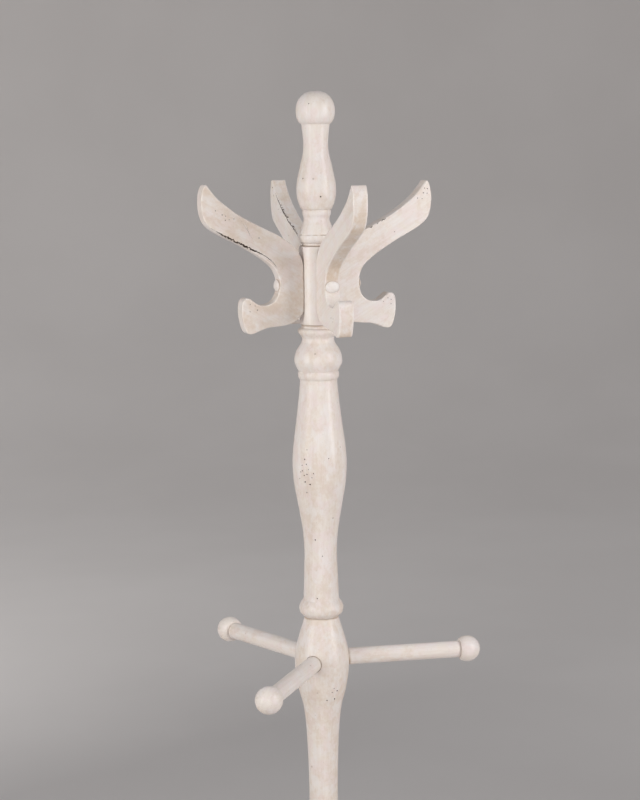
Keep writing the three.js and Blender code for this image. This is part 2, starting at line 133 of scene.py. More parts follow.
world = bpy.data.worlds.new("studio")
world.use_nodes = True
world.node_tree.nodes["Background"].inputs["Color"].default_value = (0.93, 0.95, 1.0, 1)
world.node_tree.nodes["Background"].inputs["Strength"].default_value = 0.38
bpy.context.scene.world = world
bpy.context.scene.view_settings.view_transform = "Standard"

# %% [markdown]
# ## Mesh helpers
# Turned wood is a profile swept about an axis, so a piece is written as its profile: straight runs,
# smooth curves through a few points and half-round beads. The runs are sampled finely, softened a
# little at each corner, as paint softens it, and thinned again where they are straight.


# %% Profiles
def smooth(*points, step=1.2):
    """A smooth curve through (radius, height) or (x, y) points in mm, sampled about every step."""
    points = [Vector(p) for p in points]
    last = len(points) - 1
    curve = []
    for i in range(last):
        before, start = points[max(i - 1, 0)], points[i]
        end, after = points[i + 1], points[min(i + 2, last)]
        pieces = max(2, math.ceil((end - start).length / step))
        for k in range(pieces):
            t = k / pieces
            leave = (end - before) / 2
            arrive = (after - start) / 2
            cubic = 2 * (start - end) + leave + arrive
            square = -3 * (start - end) - 2 * leave - arrive
            curve.append(cubic * t**3 + square * t**2 + leave * t + start)
    return curve + [points[-1]]


def bead(low_r, low_h, high_r, high_h, crest, steps=16):
    """Half an ellipse that swells to its crest between two edges."""
    points = []
    for k in range(steps + 1):
        turn = math.pi * k / steps
        along = (1 - math.cos(turn)) / 2
        radius = low_r + (high_r - low_r) * along
        radius += (crest - (low_r + high_r) / 2) * math.sin(turn)
        points.append(Vector((radius, low_h + (high_h - low_h) * along)))
    return points


def straight(*points):
    return [Vector(p) for p in points]


def softened(points, step=0.4, passes=3, longest=4.0):
    """The same profile with its corners eased, then thinned where it hardly turns."""
    points = np.array([tuple(p) for p in points])
    lengths = np.linalg.norm(np.diff(points, axis=0), axis=1)
    points = points[np.r_[True, lengths > 1e-6]]
    travel = np.r_[0, np.cumsum(np.linalg.norm(np.diff(points, axis=0), axis=1))]
    places = np.linspace(0, travel[-1], max(3, int(travel[-1] / step)))
    even = np.column_stack([np.interp(places, travel, points[:, k]) for k in (0, 1)])
    for _ in range(passes):
        even[1:-1] = (even[:-2] + 2 * even[1:-1] + even[2:]) / 4
    kept = [0]
    turned_by = 0.0
    for k in range(1, len(even) - 1):
        a, b = even[k] - even[k - 1], even[k + 1] - even[k]
        turned_by += abs(math.atan2(a[0] * b[1] - a[1] * b[0], a @ b))
        if turned_by > math.radians(4) or (k - kept[-1]) * step > longest:
            kept.append(k)
            turned_by = 0.0
    return even[kept + [len(even) - 1]]


# %% [markdown]
# Turnings, cutters and the floor are all rings of points joined by faces, so one helper skins them.

# %% From rings to a mesh
def skin(body, rings, sides):
    """Joins each ring of points to the next; a ring of one point closes an end."""
    for low, high in zip(rings, rings[1:]):
        for k in range(sides):
            after = (k + 1) % sides
            corners = [low[k % len(low)], low[after % len(low)], high[after % len(high)], high[k % len(high)]]
            body.faces.new(list(dict.fromkeys(corners)))


def as_mesh(body, name):
    mesh = bpy.data.meshes.new(name)
    body.to_mesh(mesh)
    body.free()
    return mesh


# %% [markdown]
# Every visible piece carries three values on its points. `wood` is a place in the piece's own frame
# with Z along the grain, so that the figure follows the board and not the room. `crevice` says how deep
# a point lies in a groove, a hole or a crack, where glaze stays, and `crest` how far it stands out on a
# rim or an arris, where hands and sandpaper have rubbed the paint lighter.


# %% Marks on the points
def mark(mesh, name, values, kind="FLOAT"):
    layer = mesh.attributes.new(name, kind, "POINT")
    values = np.ascontiguousarray(values, np.float32)
    layer.data.foreach_set("vector" if kind == "FLOAT_VECTOR" else "value", values.ravel())


def places_of(mesh):
    """The mesh's points in mm, as rows."""
    values = np.empty(len(mesh.vertices) * 3, np.float32)
    mesh.vertices.foreach_get("co", values)
    return values.reshape(-1, 3) / MM


def put_points(mesh, points):
    """Moves the mesh's points to the rows given in mm."""
    mesh.vertices.foreach_set("co", (points * MM).astype(np.float32).ravel())


def middle_of(name):
    """The middle of a node's box as (x, y, z), in mm."""
    return [(low + high) / 2 / MM for low, high in zip(*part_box(name))]


def finish_piece(mesh, node_name, kind, slot, wood, crevice, crest, place, shade_tone=0.0):
    """Stores the marks, moves the mesh to its place, and lets the piece stand in for its node."""
    name = f"{node_name}_{kind}"
    rng = random.Random(name)
    offset = np.array([rng.uniform(-400, 400) for _ in range(3)])
    mark(mesh, "wood", (wood + offset) * MM, "FLOAT_VECTOR")
    mark(mesh, "crevice", np.clip(crevice, 0, 1))
    mark(mesh, "crest", np.clip(crest, 0, 1))
    mesh.transform(place)
    mesh.shade_smooth()
    mesh.set_sharp_from_angle(angle=math.radians(32))
    piece = bpy.data.objects.new(name, mesh)
    bpy.context.scene.collection.objects.link(piece)
    mesh.materials.clear()
    mesh.materials.append(FINISHES[slot])
    # The shade tone is painted light and shade for the whole piece: above zero it paints the piece tan, as if
    # shaded, below zero paler, as if lit.
    piece["shade_tone"] = float(shade_tone)
    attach(piece, ROOT)
    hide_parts(node_name)
    return piece


# %% [markdown]
# Holes, sockets, cracks and nicks are cut as real geometry. All the cutters of a piece go into one
# mesh, so that one boolean makes them all. They never touch each other, which keeps that mesh sound.


# %% Cutters and the boolean
def tube_between(tool, start, end, start_r, end_r, sides=12):
    """Adds a closed round body from start to end, in mm."""
    start, end = Vector(start), Vector(end)
    lie = (end - start).to_track_quat("Z", "X").to_matrix().to_4x4()
    made = bmesh.ops.create_cone(tool, cap_ends=True, segments=sides, radius1=start_r, radius2=end_r,
                                 depth=(end - start).length)
    bmesh.ops.transform(tool, matrix=Matrix.Translation((start + end) / 2) @ lie, verts=made["verts"])


def scoop(tool, centre, radius, squash=(1, 1, 1)):
    """Adds a round body that leaves a shallow nick where it meets a surface."""
    made = bmesh.ops.create_icosphere(tool, subdivisions=2, radius=radius)
    shape = Matrix.Translation(centre) @ Matrix.Diagonal((*squash, 1))
    bmesh.ops.transform(tool, matrix=shape, verts=made["verts"])


def crack(tool, path, face, normal, widths, depth, seed):
    """Adds a jagged wedge along a path of (x, z) points on a flat face at y = face."""
    rng = random.Random(seed)
    line = smooth(*path, step=1.5)
    shares = np.linspace(0, len(widths) - 1, len(line))
    rings = []
    for k, spot in enumerate(line):
        ahead = (line[min(k + 1, len(line) - 1)] - line[max(k - 1, 0)]).normalized()
        across = Vector((-ahead.y, ahead.x))
        width = float(np.interp(shares[k], range(len(widths)), widths))
        half = max(0.1, width / 2 * rng.uniform(0.45, 1.35))
        middle = spot + across * rng.uniform(-0.4, 0.4) * width
        low = face - normal * depth * (0.4 + 0.6 * width / max(widths))
        high = face + normal * 0.6
        spots = (middle + across * half, middle - across * half)
        ring = [tool.verts.new((p.x, high, p.y)) for p in spots]
        rings.append(ring + [tool.verts.new((middle.x, low, middle.y))])
    skin(tool, rings, 3)
    tool.faces.new(rings[0][::-1])
    tool.faces.new(rings[-1])


def carved(mesh, tool):
    """The mesh, in metres, with the cutters, in mm, taken out of it."""
    bmesh.ops.recalc_face_normals(tool, faces=tool.faces)
    cutter_mesh = as_mesh(tool, "cutter")
    cutter_mesh.transform(Matrix.Scale(MM, 4))
    # Faces that come from the cutters are marked 1 and those of the blank 0; the paint makes the marked faces
    # near black, as painted shade.
    for one, cut_face in ((cutter_mesh, 1.0), (mesh, 0.0)):
        layer = one.attributes.new("cut", "FLOAT", "FACE")
        layer.data.foreach_set("value", np.full(len(one.polygons), cut_face, np.float32))
    cutter = bpy.data.objects.new("cutter", cutter_mesh)
    blank = bpy.data.objects.new("blank", mesh)
    for thing in (cutter, blank):
        bpy.context.scene.collection.objects.link(thing)
    boolean = blank.modifiers.new("carve", "BOOLEAN")
    boolean.operation = "DIFFERENCE"
    boolean.solver = "MANIFOLD"
    boolean.object = cutter
    solid = blank.evaluated_get(bpy.context.evaluated_depsgraph_get())
    result = bpy.data.meshes.new_from_object(solid)
    for thing in (cutter, blank):
        bpy.data.objects.remove(thing)
    bpy.data.meshes.remove(cutter_mesh)
    bpy.data.meshes.remove(mesh)
    return result


# %% [markdown]
# ## The antiqued paint
# On the real rack the maker sprays cream paint, rubs it back on the arrises, spatters fine dark specks,
# wipes on a tan glaze that stays in grooves and worm holes, and seals it all with satin lacquer. Each
# of these steps is one node group here, so that the post, the hooks and the plugs can take them in
# their own amounts. All patterns read the `wood` place, and none knows where the camera is.


# %% Node helpers
def new_group(name, inputs, outputs):
    """An empty shader group with float, vector or colour sockets, and its in and out nodes."""
    tree = bpy.data.node_groups.new(name, "ShaderNodeTree")
    for side, sockets in (("INPUT", inputs), ("OUTPUT", outputs)):
        for label, value in sockets.items():
            kind = "NodeSocketFloat"
            if value is Vector:
                kind = "NodeSocketVector"
            elif isinstance(value, tuple):
                kind = "NodeSocketColor"
            socket = tree.interface.new_socket(name=label, in_out=side, socket_type=kind)
            if kind != "NodeSocketVector" and value is not None:
                socket.default_value = value
    return tree, tree.nodes.new("NodeGroupInput"), tree.nodes.new("NodeGroupOutput")


def node(tree, kind, inputs=None, **settings):
    """A node with its settings, and with inputs set to a value or linked to a socket."""
    made = tree.nodes.new(kind)
    for key, value in settings.items():
        setattr(made, key, value)
    for key, value in (inputs or {}).items():
        if isinstance(value, bpy.types.NodeSocket):
            tree.links.new(value, made.inputs[key])
        else:
            made.inputs[key].default_value = value
    return made


def ramp(tree, value, low, high, to_low=0.0, to_high=1.0):
    """value mapped smoothly from low..high to to_low..to_high."""
    made = node(tree, "ShaderNodeMapRange", {0: value, 1: low, 2: high, 3: to_low, 4: to_high},
                interpolation_type="SMOOTHSTEP")
    return made.outputs[0]


def maths(tree, operation, one, two=0.0, clamp=False):
    made = node(tree, "ShaderNodeMath", {0: one, 1: two}, operation=operation, use_clamp=clamp)
    return made.outputs[0]


def times(tree, one, two, clamp=False):
    return maths(tree, "MULTIPLY", one, two, clamp)


def plus(tree, one, two):
    return maths(tree, "ADD", one, two)


def minus(tree, one, two):
    return maths(tree, "SUBTRACT", one, two)


def mixed(tree, amount, one, two):
    """One colour moved towards another by an amount."""
    made = node(tree, "ShaderNodeMix", {0: amount, 6: one, 7: two}, data_type="RGBA")
    return made.outputs[2]


def stretched(tree, vector, across, along):
    """The place scaled across and along the grain."""
    made = node(tree, "ShaderNodeVectorMath", {0: vector, 1: (across, across, along)}, operation="MULTIPLY")
    return made.outputs[0]


def cloud(tree, vector, scale, detail=4.0, rough=0.55):
    made = node(tree, "ShaderNodeTexNoise", {"Vector": vector, "Scale": scale, "Detail": detail,
                                             "Roughness": rough})
    return made.outputs["Fac"]


# %% Node group: grain that telegraphs through the paint
grain_group, given, out = new_group("grain", {"Wood": Vector, "Fineness": 1.0},
                                    {"Grain": None, "Pores": None})
scaled = {0: given.outputs["Wood"], "Scale": given.outputs["Fineness"]}
fine_place = node(grain_group, "ShaderNodeVectorMath", scaled, operation="SCALE").outputs[0]
fibre = cloud(grain_group, stretched(grain_group, fine_place, 420, 16), 1.0, 5, 0.6)
broad = cloud(grain_group, stretched(grain_group, fine_place, 95, 5), 1.0, 3)
both = plus(grain_group, times(grain_group, fibre, 0.6), times(grain_group, broad, 0.4))
pore = cloud(grain_group, stretched(grain_group, fine_place, 900, 45), 1.0, 2)
grain_group.links.new(both, out.inputs["Grain"])
grain_group.links.new(ramp(grain_group, pore, 0.63, 0.72), out.inputs["Pores"])

# %% Node group: blush, tan and pale clouds of the sprayed and wiped coats
def streaky_cloud(wood, length, scale, detail, rough=0.6):
    return cloud(clouds_group, stretched(clouds_group, wood, 1, length), scale, detail, rough)


clouds_group, given, out = new_group("clouds", {"Wood": Vector}, {"Blush": None, "Tan": None, "Pale": None})
wood = given.outputs["Wood"]
blush = streaky_cloud(wood, 0.85, 62, 3, 0.55)
tan_far = times(clouds_group, streaky_cloud(wood, 0.55, 21, 4), 0.4)
tan_near = times(clouds_group, streaky_cloud(wood, 0.8, 105, 4), 0.35)
tan_fine = times(clouds_group, streaky_cloud(wood, 0.75, 320, 3), 0.25)
tan = plus(clouds_group, plus(clouds_group, tan_far, tan_near), tan_fine)
pale = streaky_cloud(wood, 0.7, 74, 4)
clouds_group.links.new(ramp(clouds_group, blush, 0.42, 0.62), out.inputs["Blush"])
clouds_group.links.new(ramp(clouds_group, tan, 0.44, 0.6), out.inputs["Tan"])
clouds_group.links.new(ramp(clouds_group, pale, 0.46, 0.64), out.inputs["Pale"])

# %% Node group: spattered specks
specks_group, given, out = new_group("specks", {"Wood": Vector, "Per metre": 160.0, "Amount": 0.3},
                                     {"Specks": None})
cells = node(specks_group, "ShaderNodeTexVoronoi",
             {"Vector": given.outputs["Wood"], "Scale": given.outputs["Per metre"], "Randomness": 1.0})
chance = node(specks_group, "ShaderNodeSeparateColor", {0: cells.outputs["Color"]}).outputs
reach_in = minus(specks_group, times(specks_group, chance[1], 0.16), cells.outputs["Distance"])
dot = ramp(specks_group, reach_in, -0.03, 0.06)
kept_cells = maths(specks_group, "LESS_THAN", chance[0], given.outputs["Amount"])
specks_group.links.new(times(specks_group, dot, kept_cells), out.inputs["Specks"])

# %% Node group: glaze left in crevices, and paint rubbed through on crests
rub_group, given, out = new_group(
    "rubbed", {"Wood": Vector, "Crevice": 0.0, "Crest": 0.0}, {"Glaze": None, "Rub": None})
wood, in_crevice, on_crest = (given.outputs[key] for key in ("Wood", "Crevice", "Crest"))
ragged = cloud(rub_group, stretched(rub_group, wood, 1, 0.8), 140, 5, 0.65)
patches = ramp(rub_group, cloud(rub_group, wood, 32, 3), 0.3, 0.7, 0.45, 1.15)
glaze_wave = times(rub_group, minus(rub_group, ragged, 0.5), 0.5)
glaze_edge = plus(rub_group, times(rub_group, patches, in_crevice), glaze_wave)
crest_edge = plus(rub_group, on_crest, times(rub_group, minus(rub_group, ragged, 0.52), 1.3))
glaze = times(rub_group, ramp(rub_group, glaze_edge, 0.12, 0.85), in_crevice, True)
rub = times(rub_group, ramp(rub_group, crest_edge, 0.35, 0.8), on_crest, True)
rub_group.links.new(glaze, out.inputs["Glaze"])
rub_group.links.new(rub, out.inputs["Rub"])

# %% [markdown]
# The finish of the post and the boards mixes those masks from the ground coat up: cream, blush, tan,
# glaze, rubbed arrises, specks. The tan also carries painted shade and light, by piece and on sawn
# edges, and faces left by the cutters are painted near black, as painted shade. The lacquer is the coat
# of the shader. The plugs were painted apart from the rack, so they keep the whiter ground coat and take
# little glaze.

# %% Painted finishes
def placed(tree, group, inputs):
    return node(tree, "ShaderNodeGroup", inputs, node_tree=group).outputs


def value_on_points(tree, name, output="Fac"):
    return node(tree, "ShaderNodeAttribute", attribute_name=name).outputs[output]


def new_material(name):
    material = bpy.data.materials.new(name)
    material.use_nodes = True
    return material, material.node_tree, material.node_tree.nodes["Principled BSDF"]


def painted(name, ground, blush_colour, tan_colour, blush_amount, tan_amount, specks):
    material, tree, shader = new_material(name)
    wood = value_on_points(tree, "wood", "Vector")
    shade_tone = node(tree, "ShaderNodeAttribute", attribute_name="shade_tone", attribute_type="OBJECT").outputs["Fac"]
    grain = placed(tree, grain_group, {"Wood": wood, "Fineness": 1.0})
    coats = placed(tree, clouds_group, {"Wood": wood})
    worn = placed(tree, rub_group, {"Wood": wood, "Crevice": value_on_points(tree, "crevice"),
                                    "Crest": value_on_points(tree, "crest")})
    fine = placed(tree, specks_group, {"Wood": wood, "Per metre": 300.0, "Amount": specks})
    bold = placed(tree, specks_group, {"Wood": wood, "Per metre": 95.0, "Amount": specks * 0.45})
    # The tan layer carries real tan clouds and glaze on sawn edges, and also painted shade and light: the
    # shade tone of the piece and the up and down weights of its edges.
    edge_glaze_and_piece_shade = plus(tree, times(tree, value_on_points(tree, "sawn"), 0.6), shade_tone)
    tan_glaze_and_shade = times(tree, plus(tree, coats["Tan"], edge_glaze_and_piece_shade), tan_amount, True)
    layers = [
        (times(tree, coats["Blush"], blush_amount), blush_colour),
        (tan_glaze_and_shade, tan_colour),
        (times(tree, coats["Pale"], 0.6), (0.81, 0.775, 0.755, 1)),
        (ramp(tree, grain["Grain"], 0.36, 0.6, 0.2, 0.0), (0.60, 0.47, 0.37, 1)),
        (times(tree, worn["Rub"], 0.35), (0.90, 0.85, 0.80, 1)),
        (times(tree, worn["Glaze"], 0.8), (0.40, 0.28, 0.18, 1)),
        (times(tree, fine["Specks"], 0.45), (0.46, 0.36, 0.30, 1)),
        (times(tree, bold["Specks"], 0.55), (0.36, 0.27, 0.21, 1)),
        # Faces left by the cutters are painted near black: painted shade inside worm holes, cracks, nicks and
        # sockets, over the bare wood there.
        (times(tree, value_on_points(tree, "cut"), 0.93), (0.085, 0.05, 0.03, 1)),
    ]
    colour = ground
    for amount, layer_colour in layers:
        colour = mixed(tree, amount, colour, layer_colour)
    rough = ramp(tree, grain["Grain"], 0.3, 0.7, 0.38, 0.5)
    rough = plus(tree, rough, times(tree, worn["Glaze"], 0.2))
    height = minus(tree, times(tree, grain["Grain"], 0.5), grain["Pores"])
    height = minus(tree, height, times(tree, bold["Specks"], 1.5))
    bump = node(tree, "ShaderNodeBump", {"Height": height, "Strength": 0.4, "Distance": 0.00015})
    tree.links.new(colour, shader.inputs["Base Color"])
    tree.links.new(rough, shader.inputs["Roughness"])
    tree.links.new(bump.outputs[0], shader.inputs["Normal"])
    shader.inputs["Coat Weight"].default_value = 0.22
    shader.inputs["Coat Roughness"].default_value = 0.28
    shader.inputs["Specular IOR Level"].default_value = 0.45
    return material


FINISHES = {
    "painted_wood": painted("antiqued cream paint", (0.80, 0.735, 0.675, 1), (0.80, 0.70, 0.68, 1),
                            (0.66, 0.54, 0.43, 1), 0.75, 0.5, 0.5),
    "plug_paint": painted("plug paint", (0.84, 0.80, 0.77, 1), (0.84, 0.76, 0.74, 1),
                          (0.76, 0.66, 0.56, 1), 0.4, 0.25, 0.1),
}
print("paints:", list(FINISHES))


# %% [markdown]
# ## Hardware finishes
# Studs, screws, inserts and dowels are hidden in the joints but they are real pieces, seen when the
# rack is taken apart. Zinc and brass are metals whose brightness comes from the lights, so the nodes
# only vary how dull they are; the beech of the dowels is bare grain.

# %% Metal, nylon and bare wood
def plain_finish(name, colour, second, metallic, low_rough, high_rough, fineness, bump_height):
    """A finish in which grain or brush marks move the colour and the dullness between two values."""
    material, tree, shader = new_material(name)
    place = node(tree, "ShaderNodeTexCoord").outputs["Object"]
    grain = placed(tree, grain_group, {"Wood": place, "Fineness": fineness})
    shade = mixed(tree, ramp(tree, grain["Grain"], 0.35, 0.65), colour, second)
    tree.links.new(shade, shader.inputs["Base Color"])
    tree.links.new(ramp(tree, grain["Grain"], 0.3, 0.7, low_rough, high_rough), shader.inputs["Roughness"])
    bump = node(tree, "ShaderNodeBump", {"Height": grain["Grain"], "Strength": 0.3, "Distance": bump_height})
    tree.links.new(bump.outputs[0], shader.inputs["Normal"])
    shader.inputs["Metallic"].default_value = metallic
    return material


FINISHES["zinc_steel"] = plain_finish("zinc plate", (0.60, 0.62, 0.64, 1), (0.70, 0.70, 0.66, 1), 1,
                                      0.25, 0.45, 2.0, 2e-5)
FINISHES["brass"] = plain_finish("brass", (0.72, 0.52, 0.22, 1), (0.80, 0.62, 0.32, 1), 1,
                                 0.2, 0.4, 2.0, 2e-5)
FINISHES["beech"] = plain_finish("bare beech", (0.62, 0.42, 0.24, 1), (0.74, 0.56, 0.36, 1), 0,
                                 0.5, 0.7, 0.6, 6e-5)
FINISHES["nylon"] = plain_finish("moulded nylon", (0.70, 0.67, 0.60, 1), (0.76, 0.73, 0.67, 1), 0,
                                 0.45, 0.6, 1.5, 3e-5)
slot_of = {row["node"]: row["material_slot"] for row in frame["record"]["subparts"]}
for name, thing in frame["nodes"].items():
    thing.data.materials.clear()
    thing.data.materials.append(FINISHES[slot_of[name]])
print("nodes given a finish:", len(frame["nodes"]))

# %% [markdown]
# ## The floor
# The rack stands on seamless paper. It is a wide bowl, because a flat sheet would show its horizon
# behind the finial, and it carries only a faint cloudy tone.

# %% The floor
FLOOR_SIDES = 96


def studio_bowl():
    """A wide floor that curves up into a wall all round, so that it has no horizon."""
    profile = [(3.5, 0), (6.5, 0), (7.6, 0.15), (8.5, 0.6), (9.1, 1.4), (9.3, 2.6), (9.3, 5.5)]
    angles = np.linspace(0, 2 * math.pi, FLOOR_SIDES, endpoint=False)
    bowl = bmesh.new()
    rings = [[bowl.verts.new((0, 0, 0))]]
    for radius, height in profile:
        spots = [(radius * math.cos(t), radius * math.sin(t), height) for t in angles]
        rings.append([bowl.verts.new(s) for s in spots])
    skin(bowl, rings[::-1], FLOOR_SIDES)
    mesh = as_mesh(bowl, "studio_floor")
    mesh.shade_smooth()
    floor = bpy.data.objects.new("studio_floor", mesh)
    bpy.context.scene.collection.objects.link(floor)
    material, tree, shader = new_material("seamless paper")
    place = node(tree, "ShaderNodeTexCoord").outputs["Object"]
    tone = ramp(tree, cloud(tree, place, 0.9, 3), 0.3, 0.7)
    paper = mixed(tree, tone, (0.72, 0.685, 0.66, 1), (0.75, 0.715, 0.69, 1))
    tree.links.new(paper, shader.inputs["Base Color"])
    shader.inputs["Roughness"].default_value = 0.85
    shader.inputs["Specular IOR Level"].default_value = 0.2
    mesh.materials.append(material)


studio_bowl()

# %% [markdown]
# ## The turned sections
# Each section is turned between centres, bored at its foot for a brass insert and at its head for a
# stud. The profile gives the outside; the bores close it into one solid. The same profile tells where
# glaze stays: where a point's radius is less than the mean of its neighbourhood it lies in a groove,
# and where it is more it stands on a crest.

# %% Turning
INSERT_BORE = 7.3
STUD_BORE = 4.3
BORE_DEPTH = 24
INSERT_DEPTH = 16.3
WORM_HOLE = 0.78


def foot_bore():
    return straight((0, BORE_DEPTH), (STUD_BORE, BORE_DEPTH), (STUD_BORE, INSERT_DEPTH),
                    (INSERT_BORE, INSERT_DEPTH), (INSERT_BORE, 0))


def head_bore(height):
    return straight((STUD_BORE, height), (STUD_BORE, height - BORE_DEPTH), (0, height - BORE_DEPTH))


def turned_mesh(profile, sides):
    """A closed mesh in metres from an (n, 2) profile in mm whose ends lie on the axis."""
    angles = np.linspace(0, 2 * math.pi, sides, endpoint=False)
    body = bmesh.new()
    rings = []
    for radius, height in profile:
        if radius < 1e-4:
            rings.append([body.verts.new((0, 0, height * MM))])
        else:
            rings.append([body.verts.new((radius * math.cos(t) * MM, radius * math.sin(t) * MM, height * MM))
                          for t in angles])
    skin(body, rings, sides)
    bmesh.ops.recalc_face_normals(body, faces=body.faces)
    return as_mesh(body, "turned")


class Outside:
    """The outside of a turned piece: its radius, groove depth and crest height at any height."""

    def __init__(self, profile, reach=2.4):
        order = np.argsort(profile[:, 1], kind="stable")
        self.heights, self.radii = profile[order, 1], profile[order, 0]
        grid = np.arange(self.heights[0], self.heights[-1], 0.5)
        radius = np.interp(grid, self.heights, self.radii)
        window = max(3, int(2 * reach / 0.5) | 1)
        padded = np.pad(radius, window // 2, mode="edge")
        mean = np.convolve(padded, np.ones(window) / window, mode="valid")[: len(grid)]
        self.grid, self.sunk = grid, mean - radius

    def radius(self, height):
        return np.interp(height, self.heights, self.radii)

    def groove(self, height):
        return np.interp(height, self.grid, np.clip(self.sunk / 1.5 - 0.1, 0, 0.75))

    def crest(self, height):
        return np.interp(height, self.grid, np.clip(-self.sunk / 1.1, 0, 1))


def hand_finished(mesh, seed, swing=0.12):
    """Moves the points in and out a little, as turning and sanding by hand do."""
    points = places_of(mesh)
    shift = Vector((seed * 37.0, seed * 11.0, 0))
    for k, (x, y, z) in enumerate(points):
        reach = math.hypot(x, y)
        if reach > 9.5:
            ripple = noise.noise(Vector((x, y, z * 0.4)) / 21 + shift)
            ripple += 0.5 * noise.noise(Vector((x, y, z)) / 8 + shift)
            points[k, :2] *= 1 + swing * ripple / reach
    put_points(mesh, points)


def milled(mesh, radius, distance, low, high, run_down, run_up):
    """Four flats at a distance from the axis, between two heights, with curved run-outs."""
    points = places_of(mesh)
    past = np.maximum((low - points[:, 2]) / run_down, (points[:, 2] - high) / run_up)
    limit = distance + (radius + 1 - distance) * np.clip(past, 0, None) ** 2
    for k in range(4):
        way = np.array([round(math.cos(k * math.pi / 2)), round(math.sin(k * math.pi / 2))])
        extra = np.clip(points[:, :2] @ way - limit, 0, None)
        points[:, :2] -= extra[:, None] * way
    put_points(mesh, points)


def turned_section(name, runs, worm_holes=(), sides=96, longest=4.0, foot=None, head=None, flats=None,
                   cutters=None, scores=(), shade_tone=0.0):
    """A section of the post, at the place of its node, with worm holes at (angle, height) pairs."""
    low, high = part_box(name)
    height = (high.z - low.z) / MM
    base = low.z / MM
    rng = random.Random(name)
    outside = softened([p for run in runs for p in run], longest=longest)
    outside[:, 1] *= height / outside[-1, 1]
    foot = foot_bore() if foot is None else foot
    head = head_bore(height) if head is None else head
    mesh = turned_mesh(foot + [Vector(p) for p in outside] + head, sides)
    hand_finished(mesh, rng.uniform(0, 9))
    if flats:
        milled(mesh, outside[:, 0].max(), *flats)
    shape = Outside(outside)
    tool = bmesh.new()
    for angle, z in worm_holes:
        way = Vector((math.cos(math.radians(angle)), math.sin(math.radians(angle)), 0))
        spot = way * float(shape.radius(z - base)) + Vector((0, 0, z - base))
        tilt = Vector([rng.uniform(-0.4, 0.4) for _ in range(3)])
        width = WORM_HOLE * rng.uniform(0.75, 1.2)
        tube_between(tool, spot + way * 0.8, spot - (way + tilt) * 2.2, width * 1.15, width * 0.7, 9)
    if cutters:
        cutters(tool, base)
    if tool.verts:
        mesh = carved(mesh, tool)
    points = places_of(mesh)
    sunk = shape.radius(points[:, 2]) - np.hypot(points[:, 0], points[:, 1])
    if flats:
        sunk = np.where(sunk < 2.4, 0, sunk)
    ends = np.minimum(points[:, 2], height - points[:, 2])
    crevice = np.maximum(shape.groove(points[:, 2]), np.clip((sunk - 0.25) / 0.5, 0, 1))
    crevice = np.maximum(crevice, np.clip(1 - ends / 0.5, 0, 1))
    for score in scores:
        broken = [0.8 + 1.6 * noise.noise(Vector((x, y, 3.0)) / 5) for x, y, _ in points]
        line = np.clip(1.7 - abs(points[:, 2] - score) / 0.45, 0, 1)
        crevice = np.maximum(crevice, line * np.clip(broken, 0, 1))
    crest = np.where(sunk > 0.3, 0, shape.crest(points[:, 2]))
    place = Matrix.Translation((0, 0, low.z))
    piece = finish_piece(mesh, name, "turning", "painted_wood", points, crevice, crest, place, shade_tone)
    print(f"{piece.name}: {height:.0f} mm tall, {len(piece.data.polygons)} faces")


# %% [markdown]
# ### Finial
# A ball, a slim vase and a cove over a bead: the piece that hats hang from. A narrow flat is left at
# each change of shape, because a turner cuts down to it with the point of the tool.

# %% Finial
turned_section("finial", [
    straight((18.8, 0), (18.8, 2.6)),
    bead(19.0, 3.4, 21.6, 13.7, 22.8),
    straight((21.3, 14.1)),
    smooth((22.0, 14.6), (18.9, 24), (16.5, 31), (16.2, 34)),
    straight((16.6, 36.5), (17.7, 39), (18, 44), (17.2, 44.4)),
    smooth((18.4, 45), (21, 49.2), (24.2, 60), (24.9, 70), (23.9, 81), (20, 99), (16.5, 114), (15.5, 126),
           (16.4, 138.5), (17.6, 149.5)),
    straight((17.6, 150.4)),
    smooth((18.0, 150.7), (20.9, 153.2), (23.1, 157.6), (24.3, 163), (24.5, 168), (23.8, 173.6),
           (21.9, 179.2), (18.6, 184.2), (13.9, 188.2), (8.6, 190.6), (3.8, 191.5), (0, 191.6)),
], worm_holes=[(230, 1814), (205, 1722), (262, 1700)], head=[], scores=[13.9])

# %% [markdown]
# ### Hook block
# A plain round block. Four flats are milled into it for the hooks, and the cutter leaves a curved
# run-out at the ends of each flat. Moving the points that stand beyond the flat back onto it gives the
# same faces with the soft arris that paint leaves.

# %% Hook block
HOOK_SEAT = 20.9
hook_block_low, hook_block_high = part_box("hook_block")
HOOK_BLOCK_R = hook_block_high.x / MM
block_height = (hook_block_high.z - hook_block_low.z) / MM
# The block's shade tone is below zero: it is painted paler, as painted light.
turned_section("hook_block", [
    straight((HOOK_BLOCK_R - 0.9, 0), (HOOK_BLOCK_R, 0.9), (HOOK_BLOCK_R, block_height - 0.9),
             (HOOK_BLOCK_R - 0.9, block_height)),
], sides=192, longest=1.5, flats=(HOOK_SEAT, 17, 78, 18, 40), shade_tone=-0.3)

# %% [markdown]
# ### Upper post
# A bead, a bulb and a ring sit over the long vase, and a heavy bead ends it. Most of the worm holes
# are drilled in a cluster on the vase, as a maker does to suggest one old nest.

